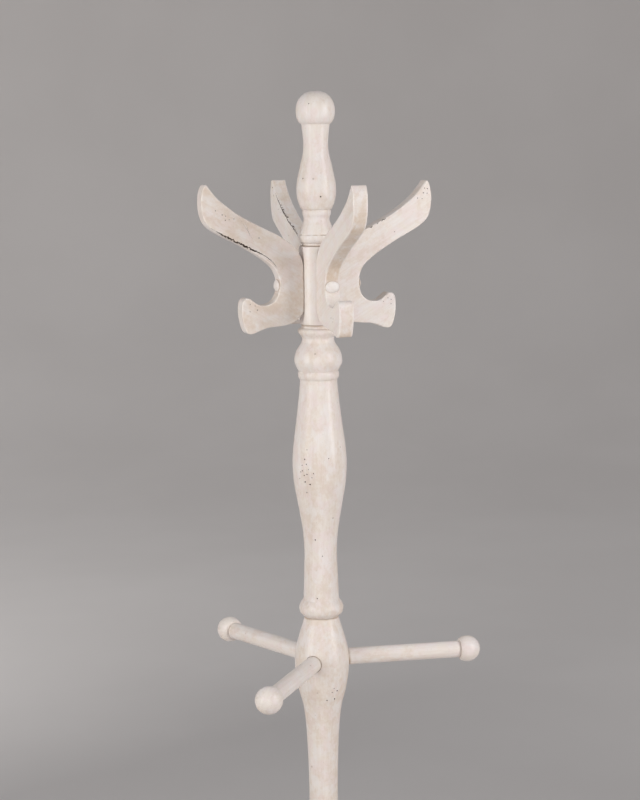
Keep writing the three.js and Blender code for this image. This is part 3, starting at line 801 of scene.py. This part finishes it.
# %% Upper post
turned_section("upper_post", [
    straight((21.6, 0)),
    smooth((22.0, 1.0), (24.6, 2.6), (27.4, 6.0), (28.6, 10.4), (28.2, 14.6), (26.2, 18.8), (23.8, 22.4),
           (22.8, 26), (21.7, 56.4), (20.9, 84.4), (22.6, 112.4), (27.7, 143.4), (33, 174.4), (34.6, 198.4),
           (33.4, 221.4), (29.4, 252.4), (25.7, 283.4), (23.6, 306.9)),
    bead(23.8, 308.4, 24.7, 318, 26.1),
    smooth((24.9, 318.4), (29.6, 327.4), (30.3, 334.9), (27.6, 344.7), (21.3, 354.7), (20.2, 359.9)),
    smooth((20.5, 361.4), (22.3, 364.0), (24.7, 366.8), (25.7, 369.4), (25.2, 371.6), (23.3, 373.1),
           (21.4, 373.5), step=0.6),
    straight((21.2, 373.8), (21.2, 377.6)),
], worm_holes=[(222, 1383), (217, 1371), (221, 1365), (210, 1363), (226, 1358), (206, 1354),
               (211, 1356), (237, 1353), (215, 1350), (222, 1352), (233, 1348), (202, 1345),
               (217, 1342), (228, 1339), (219, 1328), (270, 1372), (232, 1265), (256, 1244),
               (237, 1189), (110, 1380), (114, 1374), (106, 1369), (118, 1366), (20, 1392), (26, 1385),
               (22, 1379)])


# %% [markdown]
# ### Peg post
# The section swells where the pegs enter, so that three 22 mm sockets leave enough wood between them.
# The sockets are bored a hair over size, which leaves a dark ring round each peg: a real gap, with its walls
# painted near black as painted shade.

# %% Peg post
PEG_BALLS = [name for name in sorted(frame["nodes"]) if name.startswith("peg_") and name.endswith("_ball")]


def bearing_of(node_name):
    low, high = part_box(node_name)
    middle = (low + high) / 2
    return math.atan2(middle.y, middle.x)


peg_low, peg_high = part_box("peg_1")
PEG_HEIGHT = middle_of("peg_1")[2]
PEG_R = (peg_high.z - peg_low.z) / 2 / MM
SOCKET_FLOOR = 17.3
SOCKET_CLEARANCE = 0.4


def peg_sockets(tool, base):
    for ball in PEG_BALLS:
        way = Vector((math.cos(bearing_of(ball)), math.sin(bearing_of(ball)), 0))
        height = Vector((0, 0, PEG_HEIGHT - base))
        tube_between(tool, way * SOCKET_FLOOR + height, way * 60 + height, PEG_R + SOCKET_CLEARANCE,
                     PEG_R + SOCKET_CLEARANCE, 64)


# The peg post's shade tone paints it a little tan, as painted shade.
turned_section("peg_post", [
    straight((20.8, 0), (20.8, 3)),
    bead(21, 3.4, 21.6, 25.6, 27.3),
    straight((21.2, 26.4)),
    smooth((20.9, 29), (19, 58), (18.6, 78), (19.2, 113), (20.4, 147), (22.2, 176), (25.4, 199.4),
           (30.4, 217.5), (34.2, 240), (35.2, 257), (34.2, 269), (32.6, 277), (29.3, 290), (25.1, 303.6),
           (21.7, 314.9)),
], worm_holes=[(278, 1072), (287, 1068), (274, 1067), (283, 1057), (262, 1056), (60, 1010),
               (64, 1003), (160, 1062), (166, 1057)], cutters=peg_sockets, shade_tone=0.15)

# %% [markdown]
# ### Lower post, leg block and drop
# The lower half repeats the shapes of the upper one a size larger, so that the rack looks planted. The
# leg block has milled flats like the hook block, and the drop that closes it is glued in by a spigot.

# %% Lower post
turned_section("lower_post", [
    straight((26, 0), (26, 4)),
    bead(26, 4.5, 24.6, 33, 32),
    straight((24.2, 34)),
    smooth((24, 37), (22.9, 72), (23.6, 108), (26.4, 148), (31.4, 196), (35.4, 244), (36.4, 283), (34.6, 322),
           (30.4, 358), (25.8, 392), (23, 414)),
    bead(23.2, 416, 24, 427, 27),
    smooth((24, 428), (30.2, 452), (32, 478), (29.8, 500), (23.4, 518.5)),
    straight((21.6, 519), (21.6, 523.7)),
], worm_holes=[(228, 632), (233, 626), (225, 621), (236, 617), (40, 610), (46, 604), (130, 560), (135, 553),
               (316, 590), (321, 584), (312, 579)])

# %% Leg block
LEG_SEAT = 27.0
leg_block_low, leg_block_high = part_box("leg_block")
LEG_BLOCK_R = leg_block_high.x / MM
leg_block_height = (leg_block_high.z - leg_block_low.z) / MM
turned_section("leg_block", [
    straight((LEG_BLOCK_R - 1.4, 0), (LEG_BLOCK_R, 1.4), (LEG_BLOCK_R, leg_block_height - 1.4),
             (LEG_BLOCK_R - 1.4, leg_block_height)),
], sides=192, longest=1.5, foot=straight((0, 21), (9.3, 21), (9.3, 0)), flats=(LEG_SEAT, 14, 196, 12, 12))

# %% Drop under the leg block
turned_section("base_drop", [
    smooth((0, 0), (7, 1.6), (12.2, 6.5), (13.6, 13), (11.6, 19.6), (8.6, 23.6)),
    smooth((9.4, 25), (11, 29.6), (15.6, 33.6), (21, 36)),
    bead(21.6, 36.4, 21.8, 43, 24.8),
    straight((23.4, 43), (23.4, 45.7), (9, 45.7), (9, 66), (0, 66)),
], foot=[], head=[])


# %% [markdown]
# ## The sawn boards
# A hook is sawn from a 19 mm board and a leg from a 22 mm one, each with its grain along the limb that
# carries the load, so that no arm is short grained. The outline is a smooth curve through a few points.
# The sawn edges are eased with a router and then by hand, so the easing comes and goes along the edge.
# At a sharp inner corner the easing would run into itself, so there it is lowered until it no longer
# folds. The faces get points of their own, because a real board is never quite flat after sanding.

# %% Where points lie against an outline
EASE_STEPS = 5
ACROSS_STEPS = 9
FOLD_PASSES = 16
FACE_GRID = 3.2


def inside(points, outline):
    """Which of the (n, 2) points lie inside the closed outline."""
    hit = np.zeros(len(points), bool)
    for (x1, y1), (x2, y2) in zip(outline, np.roll(outline, -1, 0)):
        across = (y1 > points[:, 1]) != (y2 > points[:, 1])
        at = x1 + (points[:, 1] - y1) * (x2 - x1) / (y2 - y1 if y2 != y1 else 1)
        hit ^= across & (points[:, 0] < at)
    return hit


def distance_to(points, outline):
    """How far each of the (n, 2) points is from the closed outline."""
    ends = np.roll(outline, -1, 0) - outline
    best = np.full(len(points), 1e9)
    for start, run in zip(outline, ends):
        away = points - start
        along = np.clip(away @ run / max(run @ run, 1e-9), 0, 1)
        best = np.minimum(best, np.linalg.norm(away - along[:, None] * run, axis=1))
    return best


# %% The board mesh
def worn_outline(outline, ease, rng):
    """The sawn loop, its outward normals, the easing at each point, and the shift of its noise."""
    loop = np.array([tuple(p) for p in outline])
    gaps = np.linalg.norm(loop - np.roll(loop, 1, 0), axis=1)
    loop = loop[gaps > 0.05]
    tangent = np.roll(loop, -1, 0) - np.roll(loop, 1, 0)
    tangent /= np.linalg.norm(tangent, axis=1)[:, None]
    normal = np.column_stack([tangent[:, 1], -tangent[:, 0]])
    shift = Vector([rng.uniform(0, 90) for _ in range(3)])
    sway = np.array([noise.noise(Vector((x, y, 0)) / 24 + shift) for x, y in loop])
    loop = loop + normal * (sway * 0.2 - 0.05)[:, None]
    wear = np.array([noise.noise(Vector((x, y, 50)) / 15 + shift) for x, y in loop])
    eased = ease * (1 + 0.45 * wear)
    for _ in range(FOLD_PASSES):
        ring = loop - normal * eased[:, None]
        folded = np.sum((np.roll(ring, -1, 0) - ring) * tangent, axis=1) < 0.12
        close = np.any([np.roll(folded, k) for k in range(-3, 4)], axis=0)
        eased = np.where(close, eased * 0.8, eased)
    return loop, normal, eased, shift


def edge_rings(loop, normal, eased, half):
    """Rings of points round the board, from one face over the eased edge to the other."""
    rings = []
    for side in (1, -1):
        for k in range(EASE_STEPS):
            turn = math.pi / 2 * k / (EASE_STEPS - 1)
            ring = loop - normal * (eased * (1 - math.sin(turn)))[:, None]
            level = side * (half - eased * (1 - math.cos(turn)))
            rings.append(np.column_stack([ring[:, 0], level, ring[:, 1]]))
    shares = np.linspace(0, 1, ACROSS_STEPS + 2)[1:-1]
    across = [rings[EASE_STEPS - 1] * (1 - share) + rings[-1] * share for share in shares]
    return rings[:EASE_STEPS] + across + rings[EASE_STEPS:][::-1]


def face_spots(edge, normal):
    """Points for a face: a row just inside its edge and a grid over the middle."""
    steps = [np.arange(edge[:, k].min(), edge[:, k].max(), FACE_GRID) for k in (0, 1)]
    grid = np.stack(np.meshgrid(*steps), -1).reshape(-1, 2)
    near = edge[::2] - normal[::2] * 1.2
    kept = []
    for spots, margin in ((near, 1.0), (grid, 2.4)):
        spots = spots[inside(spots, edge)]
        kept.append(spots[distance_to(spots, edge) > margin])
    return np.concatenate(kept)


def board_mesh(outline, thickness, ease, rng):
    """A board in the plane of X and Z, in mm, with eased edges and slightly uneven faces."""
    loop, normal, eased, shift = worn_outline(outline, ease, rng)
    half = thickness / 2
    rings = edge_rings(loop, normal, eased, half)
    points = np.concatenate(rings)
    count = len(loop)
    faces = []
    for ring in range(len(rings) - 1):
        for k in range(count):
            after = (k + 1) % count
            low, high = ring * count, (ring + 1) * count
            faces.append((low + k, low + after, high + after, high + k))
    edge = rings[0][:, [0, 2]]
    flat = [Vector(p) for p in np.concatenate([edge, face_spots(edge, normal)])]
    spots, _, flats, origins, _, _ = delaunay_2d_cdt(flat, [], [list(range(count))], 1, 1e-5)
    place_of = [origin[0] if origin else None for origin in origins]
    for side, first in ((1, 0), (-1, (len(rings) - 1) * count)):
        numbers = []
        for spot, origin in zip(spots, place_of):
            if origin is not None and origin < count:
                numbers.append(first + origin)
            else:
                bulge = 0.16 * noise.noise(Vector((spot.x, spot.y, side * 40)) / 26 + shift)
                points = np.vstack([points, (spot.x, side * (half + min(bulge, 0.02)), spot.y)])
                numbers.append(len(points) - 1)
        faces += [tuple(numbers[k] for k in face)[:: side] for face in flats]
    body = bmesh.new()
    corners = [body.verts.new(p * MM) for p in points]
    for face in faces:
        body.faces.new([corners[k] for k in face])
    bmesh.ops.recalc_face_normals(body, faces=body.faces)
    return as_mesh(body, "board"), loop


def bore_along_x(tool, steps, z, sides=48):
    """Adds a stepped round cutter about a level axis, from (radius, x) corners."""
    rings = []
    for radius, x in steps:
        if radius == 0:
            rings.append([tool.verts.new((x, 0, z))])
        else:
            angles = [2 * math.pi * k / sides for k in range(sides)]
            spots = [(x, radius * math.cos(t), z + radius * math.sin(t)) for t in angles]
            rings.append([tool.verts.new(s) for s in spots])
    skin(tool, rings, sides)


def worm_hole_in_face(tool, u, v, face, side, rng):
    width = WORM_HOLE * rng.uniform(0.6, 1.0)
    start = Vector((u, side * (face + 0.8), v))
    end_u = u + rng.uniform(-0.9, 0.9)
    depth = rng.uniform(1.6, 2.6)
    end = Vector((end_u, side * (face - depth), v + rng.uniform(-0.9, 0.9)))
    tube_between(tool, start, end, width * 1.1, width * 0.65, 9)


# %% [markdown]
# The arm that a coat pulls on is long, so the maker drives one screw from the throat, hides it under a
# button plug, and adds a dowel above it to stop the hook from turning. The cutters below are that
# stepped bore and the dowel hole, then the worm holes, cracks and nicks of the antiquing.

# %% Making one board piece
SCREW_CLEARANCE = 2.4
PLUG_BORE = 6.3
PLUG_RIM = 9.4
PLUG_OVAL = 0.8
HEAD_DEPTH = 10.4
DOWEL_HOLE = 3.3
DOWEL_HOLE_DEPTH = 14.3


def board_marks(mesh, loop, half, neck, screw_z, edges):
    """Marks the sawn edge, and gives the carved board's points with their crevices and crests."""
    points = places_of(mesh)
    flat = points[:, [0, 2]]
    from_edge = distance_to(flat, loop)
    sunk = np.where(inside(flat, loop), np.minimum(half - abs(points[:, 1]), from_edge), 0)
    crevice = np.clip((sunk - 0.8) / 0.5, 0, 1)
    corner = np.hypot(np.clip(half - abs(points[:, 1]), 0, None), from_edge)
    crest = np.clip(1.2 - corner / 2.0, 0, 1) * (crevice < 0.1)
    seat = np.clip(1 - points[:, 0] / 2.5, 0, 1)
    ring = np.hypot(points[:, 1] / (PLUG_RIM + 0.2), (points[:, 2] - screw_z) / (PLUG_RIM * PLUG_OVAL + 0.2))
    cap_edge = np.clip(1.3 - abs(ring - 1.03) / 0.1, 0, 1)
    round_plug = cap_edge * (abs(points[:, 0] - neck) < 4) * (from_edge < 1)
    for glaze_line in (seat * 0.8, round_plug * 0.75):
        crevice = np.maximum(crevice, glaze_line)
    # The tan on the sawn edge is weighted per hook, apart for edges that look up and edges that look down:
    # partly glaze, partly painted shade where an edge lies in shade, and painted light where it is lit.
    # `bare` holds that weight.
    normals = np.empty(len(mesh.vertices) * 3, np.float32)
    mesh.vertices.foreach_get("normal", normals)
    upward = np.clip(normals[2::3] * 1.5 + 0.5, 0, 1)
    bare = edges[1] + (edges[0] - edges[1]) * upward
    mark(mesh, "sawn", np.clip((half - 1.6 - abs(points[:, 1])) / 0.6, 0, 1) * (from_edge < 0.6) * bare)
    return points, crevice, crest


def sawn_piece(name, outline, thickness, ease, neck, base, grain_way, holes, cracks, nicks, turn, shade_tone=0.0,
               extra=None, edges=(1, 1)):
    """One hook or leg at the place of its node; holes and nicks are (u, v) places on side +1 or -1."""
    rng = random.Random(name)
    mesh, loop = board_mesh(outline, thickness, ease, rng)
    half = thickness / 2
    screw_z = middle_of(f"{name}_screw")[2] - base
    dowel_z = middle_of(f"{name}_dowel")[2] - base
    tool = bmesh.new()
    bore_along_x(tool, [(0, -1), (SCREW_CLEARANCE, -1), (SCREW_CLEARANCE, neck - HEAD_DEPTH),
                        (PLUG_BORE, neck - HEAD_DEPTH), (PLUG_BORE, neck + 4), (0, neck + 4)], screw_z)
    bore_along_x(tool, [(0, -1), (DOWEL_HOLE, -1), (DOWEL_HOLE, DOWEL_HOLE_DEPTH), (0, DOWEL_HOLE_DEPTH)],
                 dowel_z, 24)
    for u, v, side in holes:
        worm_hole_in_face(tool, u, v, half, side, rng)
    for path, side, widths, depth in cracks:
        crack(tool, path, side * half, side, widths, depth, name)
    for u, v, side, radius in nicks:
        scoop(tool, (u, side * half, v), radius, (1, 0.8, 0.8))
    if extra:
        extra(tool)
    mesh = carved(mesh, tool)
    points, crevice, crest = board_marks(mesh, loop, half, neck, screw_z, edges)
    flat = points[:, [0, 2]]
    across = Vector((-grain_way.y, grain_way.x))
    wood = np.column_stack([flat @ np.array(across), points[:, 1], flat @ np.array(grain_way)])
    low_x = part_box(name.split("_")[0] + "_1")[0].x
    place = Matrix.Rotation(turn, 4, "Z") @ Matrix.Translation((low_x, 0, base * MM))
    piece = finish_piece(mesh, name, "board", "painted_wood", wood, crevice, crest, place, shade_tone)
    print(f"{piece.name}: {len(piece.data.polygons)} faces, {len(holes)} worm holes, {len(cracks)} cracks")


def scattered(outline, count, margin, name, low=0.0):
    """Places for worm holes in loose clusters on both sides of a board."""
    rng = random.Random(name + "_holes")
    loop = np.array([tuple(p) for p in outline])
    places = []
    while len(places) < count:
        side = rng.choice((1, -1))
        centre = [rng.uniform(first, last) for first, last in zip(loop.min(0), loop.max(0))]
        group = [(centre[0] + rng.gauss(0, 7), centre[1] + rng.gauss(0, 7)) for _ in range(rng.randint(2, 6))]
        for spot in group:
            one = np.array([spot])
            apart = all(math.dist(spot, (u, v)) > 3 for u, v, s in places if s == side)
            if apart and spot[0] > low and inside(one, loop)[0] and distance_to(one, loop)[0] > margin:
                places.append((*spot, side))
    return places


# %% [markdown]
# ## The four hooks
# One outline serves all four: a short hooked prong below, for a strap, and a long rising arm above, for
# a hat or a coat collar. The wood has a different history on each: one arm has a long split along its
# grain, another is split along its upper arris, and a third has three short splits there. The sawn edge
# takes more tan than the faces: partly glaze, and partly painted shade and light. Each hook has its own
# shade tone, painted tan where it is shaded and paler where it is lit, and its own pair of weights that
# paint the edges that look up and down, darker where they lie in shade.

# %% Hooks
HOOK_NECK = 32.3
HOOK_REACH = (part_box("hook_1")[1].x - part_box("hook_1")[0].x) / MM
HOOK_BOARD = 19.0
HOOK_EASE = 1.5
QUARTER = math.pi / 2
HOOK_GRAIN = Vector((math.cos(math.radians(30)), math.sin(math.radians(30))))
HOOK_THROAT_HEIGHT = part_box("hook_block")[0].z / MM + 48


def arm(fraction):
    return HOOK_NECK + (HOOK_REACH - HOOK_NECK) * fraction


hook_seat_face = straight(*[(0, 25.5 - 52.5 * k / 30) for k in range(30)])
hook_outline = hook_seat_face + smooth(
    (0, -27), (2, -33.5), (9, -40.5), (20, -45.8), (arm(0.02), -48), (arm(0.15), -49), (arm(0.26), -52.3),
    (arm(0.36), -56), (arm(0.43), -54.5), (arm(0.47), -46.5), (arm(0.496), -33), (arm(0.494), -19),
    (arm(0.463), -12.6), (arm(0.403), -11.3), (arm(0.34), -15.5), (arm(0.27), -20.2), (arm(0.19), -21),
    (arm(0.1), -18.5), (arm(0.03), -11), (HOOK_NECK, 0), (arm(0.002), 11.5), (arm(0.057), 24),
    (arm(0.158), 33.3), (arm(0.28), 41.7), (arm(0.48), 53.5), (arm(0.69), 64.5), (arm(0.85), 73.5),
    (arm(0.94), 82), (arm(0.984), 93), (HOOK_REACH, 105), (arm(0.994), 117), (arm(0.969), 125.5),
    (arm(0.932), 129.5), (arm(0.883), 123.5), (arm(0.777), 111.5), (arm(0.652), 101.5), (arm(0.531), 93),
    (arm(0.4), 85.5), (arm(0.27), 78.5), (arm(0.138), 72.3), (arm(0.037), 67.5), (24, 60.5), (15.5, 54),
    (7, 44), (1.8, 34.5), (0, 25.5), step=1.3)[:-1]

HOOK_HOLES = {
    "hook_1": [(126, 119), (122, 120), (120, 113.5), (125.5, 113), (112, 107.5), (118.5, 106.5), (80.5, 65.5),
               (70.5, -18), (75, -20.5), (75, -25.5), (64.5, -22.5)],
    "hook_2": [(92, 88), (99, 92), (60, 60)],
    "hook_3": [(114, 98), (105.5, 93), (101.5, 86), (101, 91), (96.5, 86.5), (90, 87.5), (58.5, 63),
               (71, -18.5), (64.5, -21), (62, -26), (71.5, -27.5)],
    "hook_4": [(52, -33.5), (59, -34), (57.5, -38)],
}
HOOK_SHOWN_SIDE = {"hook_1": -1, "hook_2": 1, "hook_3": 1, "hook_4": -1}


def along_edge(outline, start, end, inset):
    """The outline from the point nearest start to the point nearest end, moved in by inset."""
    loop = np.array([tuple(p) for p in outline])
    first = int(np.argmin(np.linalg.norm(loop - start, axis=1)))
    last = int(np.argmin(np.linalg.norm(loop - end, axis=1)))
    way = np.diff(loop[first:last + 1], axis=0)
    way /= np.linalg.norm(way, axis=1)[:, None]
    return [tuple(p + np.array((-w[1], w[0])) * inset) for p, w in zip(loop[first:last:2], way[::2])]


def upper_edge(start, end):
    return along_edge(hook_outline, start, end, 0.45)


HOOK_CRACKS = {
    "hook_1": [(upper_edge((69, 84), (61, 80)), -1, (0.3, 2.2, 0.8), 3.0),
               (upper_edge((58, 78), (54, 76)), -1, (0.5, 1.9, 0.5), 2.5),
               (upper_edge((50, 74), (45, 71.5)), -1, (0.6, 2.8, 0.6), 3.5)],
    "hook_2": [(upper_edge((112, 112), (24, 60.5)), 1, (0.3, 0.8, 1.1, 2.0, 1.5, 1.8, 1.6, 1.2, 0.8), 4.0)],
    "hook_3": [([(120, 77), (112, 72), (101, 65.8), (90, 60.2), (79, 54.8), (68, 49.7), (58, 44.7),
                 (50, 40), (42, 34), (35.5, 26)], 1,
                (0.4, 0.8, 2.0, 2.6, 2.9, 2.6, 2.8, 2.2, 1.2, 0.9, 0.7, 0.3), 4.0),
               ([(82.9, 88.1), (76, 77), (69, 66), (63.9, 56.9)], 1, (0.2, 0.45, 0.2), 0.4),
               ([(76.2, 84), (73, 75), (70.3, 65.7)], 1, (0.2, 0.45, 0.2), 0.4)],
    "hook_4": [],
}
HOOK_NICKS = {
    "hook_1": [(40, -49.2, 1, 1.3)],
    "hook_2": [(122, 120, 1, 1.2)],
    "hook_3": [(40, 70.6, -1, 1.4)],
    "hook_4": [(36, -49.2, -1, 1.2)],
}
# Each hook's shade tone is painted light and shade: hook_3 is painted tan, as it lies in shade, and the
# others paler, as they are lit.
HOOK_SHADE_TONES = {"hook_1": -0.1, "hook_2": -0.1, "hook_3": 0.4, "hook_4": -0.35}
HOOK_EDGE_SHADES = {"hook_1": (0.7, 0.6), "hook_2": (1.2, 0.4), "hook_3": (-0.3, -0.9), "hook_4": (-0.3, 2.6)}

for number in (1, 2, 3, 4):
    hook = f"hook_{number}"
    side = HOOK_SHOWN_SIDE[hook]
    near = [(u, v, side) for u, v in HOOK_HOLES[hook]]
    far = [(u, v, s) for u, v, s in scattered(hook_outline, 16, 3.5, hook, 12) if s == -side]
    sawn_piece(hook, hook_outline, HOOK_BOARD, HOOK_EASE, HOOK_NECK, HOOK_THROAT_HEIGHT, HOOK_GRAIN,
               near + far, HOOK_CRACKS[hook], HOOK_NICKS[hook], (number - 1) * QUARTER, HOOK_SHADE_TONES[hook],
               edges=HOOK_EDGE_SHADES[hook])

# %% [markdown]
# ## The four legs
# The legs repeat the sweep of the hooks at a larger size: a high shoulder on the block, an arched
# underside, and a foot that turns up a little so that the sole lands on its glide.

# %% Legs
LEG_NECK = 30.0
LEG_REACH = (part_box("leg_1")[1].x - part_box("leg_1")[0].x) / MM
LEG_BOARD = 22.0
LEG_EASE = 1.7
LEG_GRAIN = Vector((math.cos(math.radians(-52)), math.sin(math.radians(-52))))
FOOT_CENTRE = middle_of("glide_1")[0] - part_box("leg_1")[0].x / MM
SOLE = 6.8


def shin(fraction):
    return LEG_NECK + (LEG_REACH - LEG_NECK) * fraction


leg_seat_face = straight(*[(0, 300 - 170 * k / 60) for k in range(60)])
underside = smooth(
    (0, 130), (2, 124), (9, 121), (20, 128), (shin(0.008), 146), (shin(0.068), 164), (shin(0.13), 175),
    (shin(0.195), 176), (shin(0.26), 165), (shin(0.33), 139), (shin(0.4), 114), (shin(0.466), 92),
    (shin(0.542), 71), (shin(0.627), 53), (shin(0.703), 38), (shin(0.754), 24), (shin(0.788), 12),
    (FOOT_CENTRE - 14, SOLE), step=1.8)
sole = straight(*[(FOOT_CENTRE - 14 + 2 * k, SOLE) for k in range(1, 14)])
toe_and_back = smooth(
    (FOOT_CENTRE + 14, SOLE), (shin(0.965), 14), (shin(0.987), 26), (LEG_REACH, 40), (shin(0.987), 51),
    (shin(0.953), 58.5), (shin(0.894), 63.5), (shin(0.81), 71.5), (shin(0.73), 82.5), (shin(0.657), 98.5),
    (shin(0.593), 117), (shin(0.534), 138), (shin(0.472), 162), (shin(0.4), 186), (shin(0.314), 211),
    (shin(0.242), 230), (shin(0.16), 247), (shin(0.08), 259.5), (shin(0.034), 268.5), (shin(0.008), 277.5),
    (LEG_NECK, 287), (29, 297), (25, 306), (18, 311), (9, 311.5), (2, 307), (0, 300), step=1.8)
leg_outline = leg_seat_face + underside + sole + toe_and_back[:-1]
LEG_SPLIT = [(120, 178), (112, 190), (103, 200), (96, 211)]
LEG_NICKS = [(160, 128, 1, 1.6), (202, 82, -1, 1.4)]


def pin_hole(tool):
    tube_between(tool, (FOOT_CENTRE, 0, 0), (FOOT_CENTRE, 0, 20.8), 2.8, 2.8, 24)


# Each leg takes a shade tone of 0.1, a little painted shade.
for number in (1, 2, 3, 4):
    leg = f"leg_{number}"
    holes = scattered(leg_outline, 22, 5, leg, 14)
    split = [(LEG_SPLIT, 1 if number % 2 else -1, (0.3, 1.3, 1.0, 0.3), 2.2)]
    sawn_piece(leg, leg_outline, LEG_BOARD, LEG_EASE, LEG_NECK, 0, LEG_GRAIN, holes, split, LEG_NICKS,
               (number - 1) * QUARTER, 0.1, pin_hole)

# %% [markdown]
# ## Plugs, pegs, balls and glides
# The button plugs are bought turned parts with a domed cap. A peg is a plain dowel whose turned tenon
# takes the ball, and the ball is flattened where it meets the peg. All of them are turned about an axis
# that lies level, so each is made upright and then laid down towards its hook, leg or ball.

# %% Small turned pieces
def small_turning(name, profile, sides=64):
    """A turned mesh with the slight waves of hand sanding, and its points."""
    rng = random.Random(name)
    mesh = turned_mesh(profile, sides)
    shift = Vector([rng.uniform(0, 90) for _ in range(3)])
    points = places_of(mesh)
    for k, (x, y, z) in enumerate(points):
        across = math.hypot(x, y)
        if across > 4:
            points[k, :2] *= 1 + 0.07 * noise.noise(Vector((x, y, z * 0.5)) / 11 + shift) / across
    put_points(mesh, points)
    return mesh, points


def lying(low_x, z, turn):
    """Lays a piece made along +Z down along the direction turn, from low_x at height z (in mm)."""
    place = Matrix.Rotation(turn, 4, "Z") @ Matrix.Translation((low_x * MM, 0, z * MM))
    return place @ Matrix.Rotation(QUARTER, 4, "Y")


for family, neck in (("hook", HOOK_NECK), ("leg", LEG_NECK)):
    plug_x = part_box(f"{family}_1_plug")[0].x
    floor = neck - (plug_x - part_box(f"{family}_1")[0].x) / MM
    plug_profile = straight((0, 0), (5.2, 0), (6, 0.8), (6, floor - 0.5), (PLUG_RIM - 0.2, floor - 0.5),
                            (PLUG_RIM, floor - 0.3))
    plug_profile += smooth((PLUG_RIM, floor + 0.5), (9.1, floor + 1.0), (8.2, floor + 1.7),
                           (7.2, floor + 2.3), (6.4, floor + 2.65), (4.2, floor + 3.1), (2, floor + 3.3),
                           (0, floor + 3.4), step=0.5)
    for number in (1, 2, 3, 4):
        name = f"{family}_{number}_plug"
        mesh, points = small_turning(name, plug_profile)
        across = np.hypot(points[:, 0], points[:, 1])
        cap = points[:, 2] > floor - 0.6
        points[cap, 0] *= PLUG_OVAL
        put_points(mesh, points)
        crevice = np.clip((floor + 1.5 - points[:, 2]) / 0.9, 0, 1)
        crest = np.clip(1 - abs(across - 6.6) / 1.2, 0, 1) * (points[:, 2] > floor + 1)
        place = lying(plug_x / MM, middle_of(f"{family}_1_plug")[2], (number - 1) * QUARTER)
        finish_piece(mesh, name, "button", "plug_paint", points, crevice, crest * 0.6, place)
print("plugs: 8")

# %% Pegs and their balls
TENON_R = 7.5
BALL_R = 17.0
BALL_CENTRE = 194.0
SHOULDER_R = 13.5
# The pegs and balls take a shade tone below zero: they are painted paler, as painted light.
PEG_SHADE_TONE = -0.2
shoulder = BALL_CENTRE - math.sqrt(BALL_R**2 - SHOULDER_R**2)
for ball in PEG_BALLS:
    peg = ball.removesuffix("_ball")
    turn = bearing_of(ball)
    length = shoulder - 0.3 - (SOCKET_FLOOR + 0.3)
    tenon_end = shoulder + 18 - (SOCKET_FLOOR + 0.3)
    peg_profile = straight((0, 0), (PEG_R - 0.8, 0), (PEG_R, 0.8))
    peg_profile += straight(*[(PEG_R, z) for z in np.linspace(3, length - 1, 60)])
    peg_profile += straight((PEG_R - 0.3, length - 0.25), (PEG_R - 0.7, length), (TENON_R, length),
                            (TENON_R, tenon_end - 0.6), (TENON_R - 0.6, tenon_end), (0, tenon_end))
    mesh, points = small_turning(peg, peg_profile)
    along = points[:, 2]
    at_ball = np.clip(1 - (length - along) / 1.2, 0, 1) * 0.5
    crevice = np.maximum(at_ball, np.clip(1 - (along - 18) / 2.4, 0, 1))
    place = lying(SOCKET_FLOOR + 0.3, PEG_HEIGHT, turn)
    finish_piece(mesh, peg, "dowel", "painted_wood", points, crevice, np.zeros(len(points)), place, PEG_SHADE_TONE)
    start = math.asin(SHOULDER_R / BALL_R)
    ball_profile = straight((0, 18.3), (TENON_R + 0.3, 18.3), (TENON_R + 0.3, 0), (SHOULDER_R - 0.6, 0))
    for k in range(41):
        angle = start + 0.03 + (math.pi - start - 0.03) * k / 40
        radius = BALL_R * math.sin(angle) if k < 40 else 0
        ball_profile.append(Vector((radius, BALL_CENTRE - BALL_R * math.cos(angle) - shoulder)))
    mesh, points = small_turning(ball, ball_profile, sides=80)
    crevice = np.clip(1 - points[:, 2] / 1.0, 0, 1) * 0.4
    place = lying(shoulder, PEG_HEIGHT, turn)
    finish_piece(mesh, ball, "turning", "painted_wood", points, crevice, np.zeros(len(points)), place,
                 PEG_SHADE_TONE)
print("pegs:", len(PEG_BALLS))

# %% Glides
for number in (1, 2, 3, 4):
    name = f"glide_{number}"
    low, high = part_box(name)
    tall = (high.z - low.z) / MM
    radius = (high.x - low.x) / 2 / MM
    glide_profile = straight((0, 0), (radius - 2.4, 0))
    glide_profile += smooth((radius - 1.8, 0.05), (radius - 0.8, 0.5), (radius - 0.2, 1.4), (radius, 2.4),
                            step=0.4)
    glide_profile += straight((radius, 4.6))
    glide_profile += smooth((radius - 0.3, 5.6), (radius - 1.1, 6.2), (radius - 2, 6.5), step=0.4)
    glide_profile += straight((2.5, 6.5), (2.5, tall - 1), (1.6, tall), (0, tall))
    mesh, points = small_turning(name, glide_profile)
    zeros = np.zeros(len(points))
    place = Matrix.Translation(((low.x + high.x) / 2, (low.y + high.y) / 2, 0))
    finish_piece(mesh, name, "foot", "nylon", points, zeros, zeros, place)
print("glides: 4")
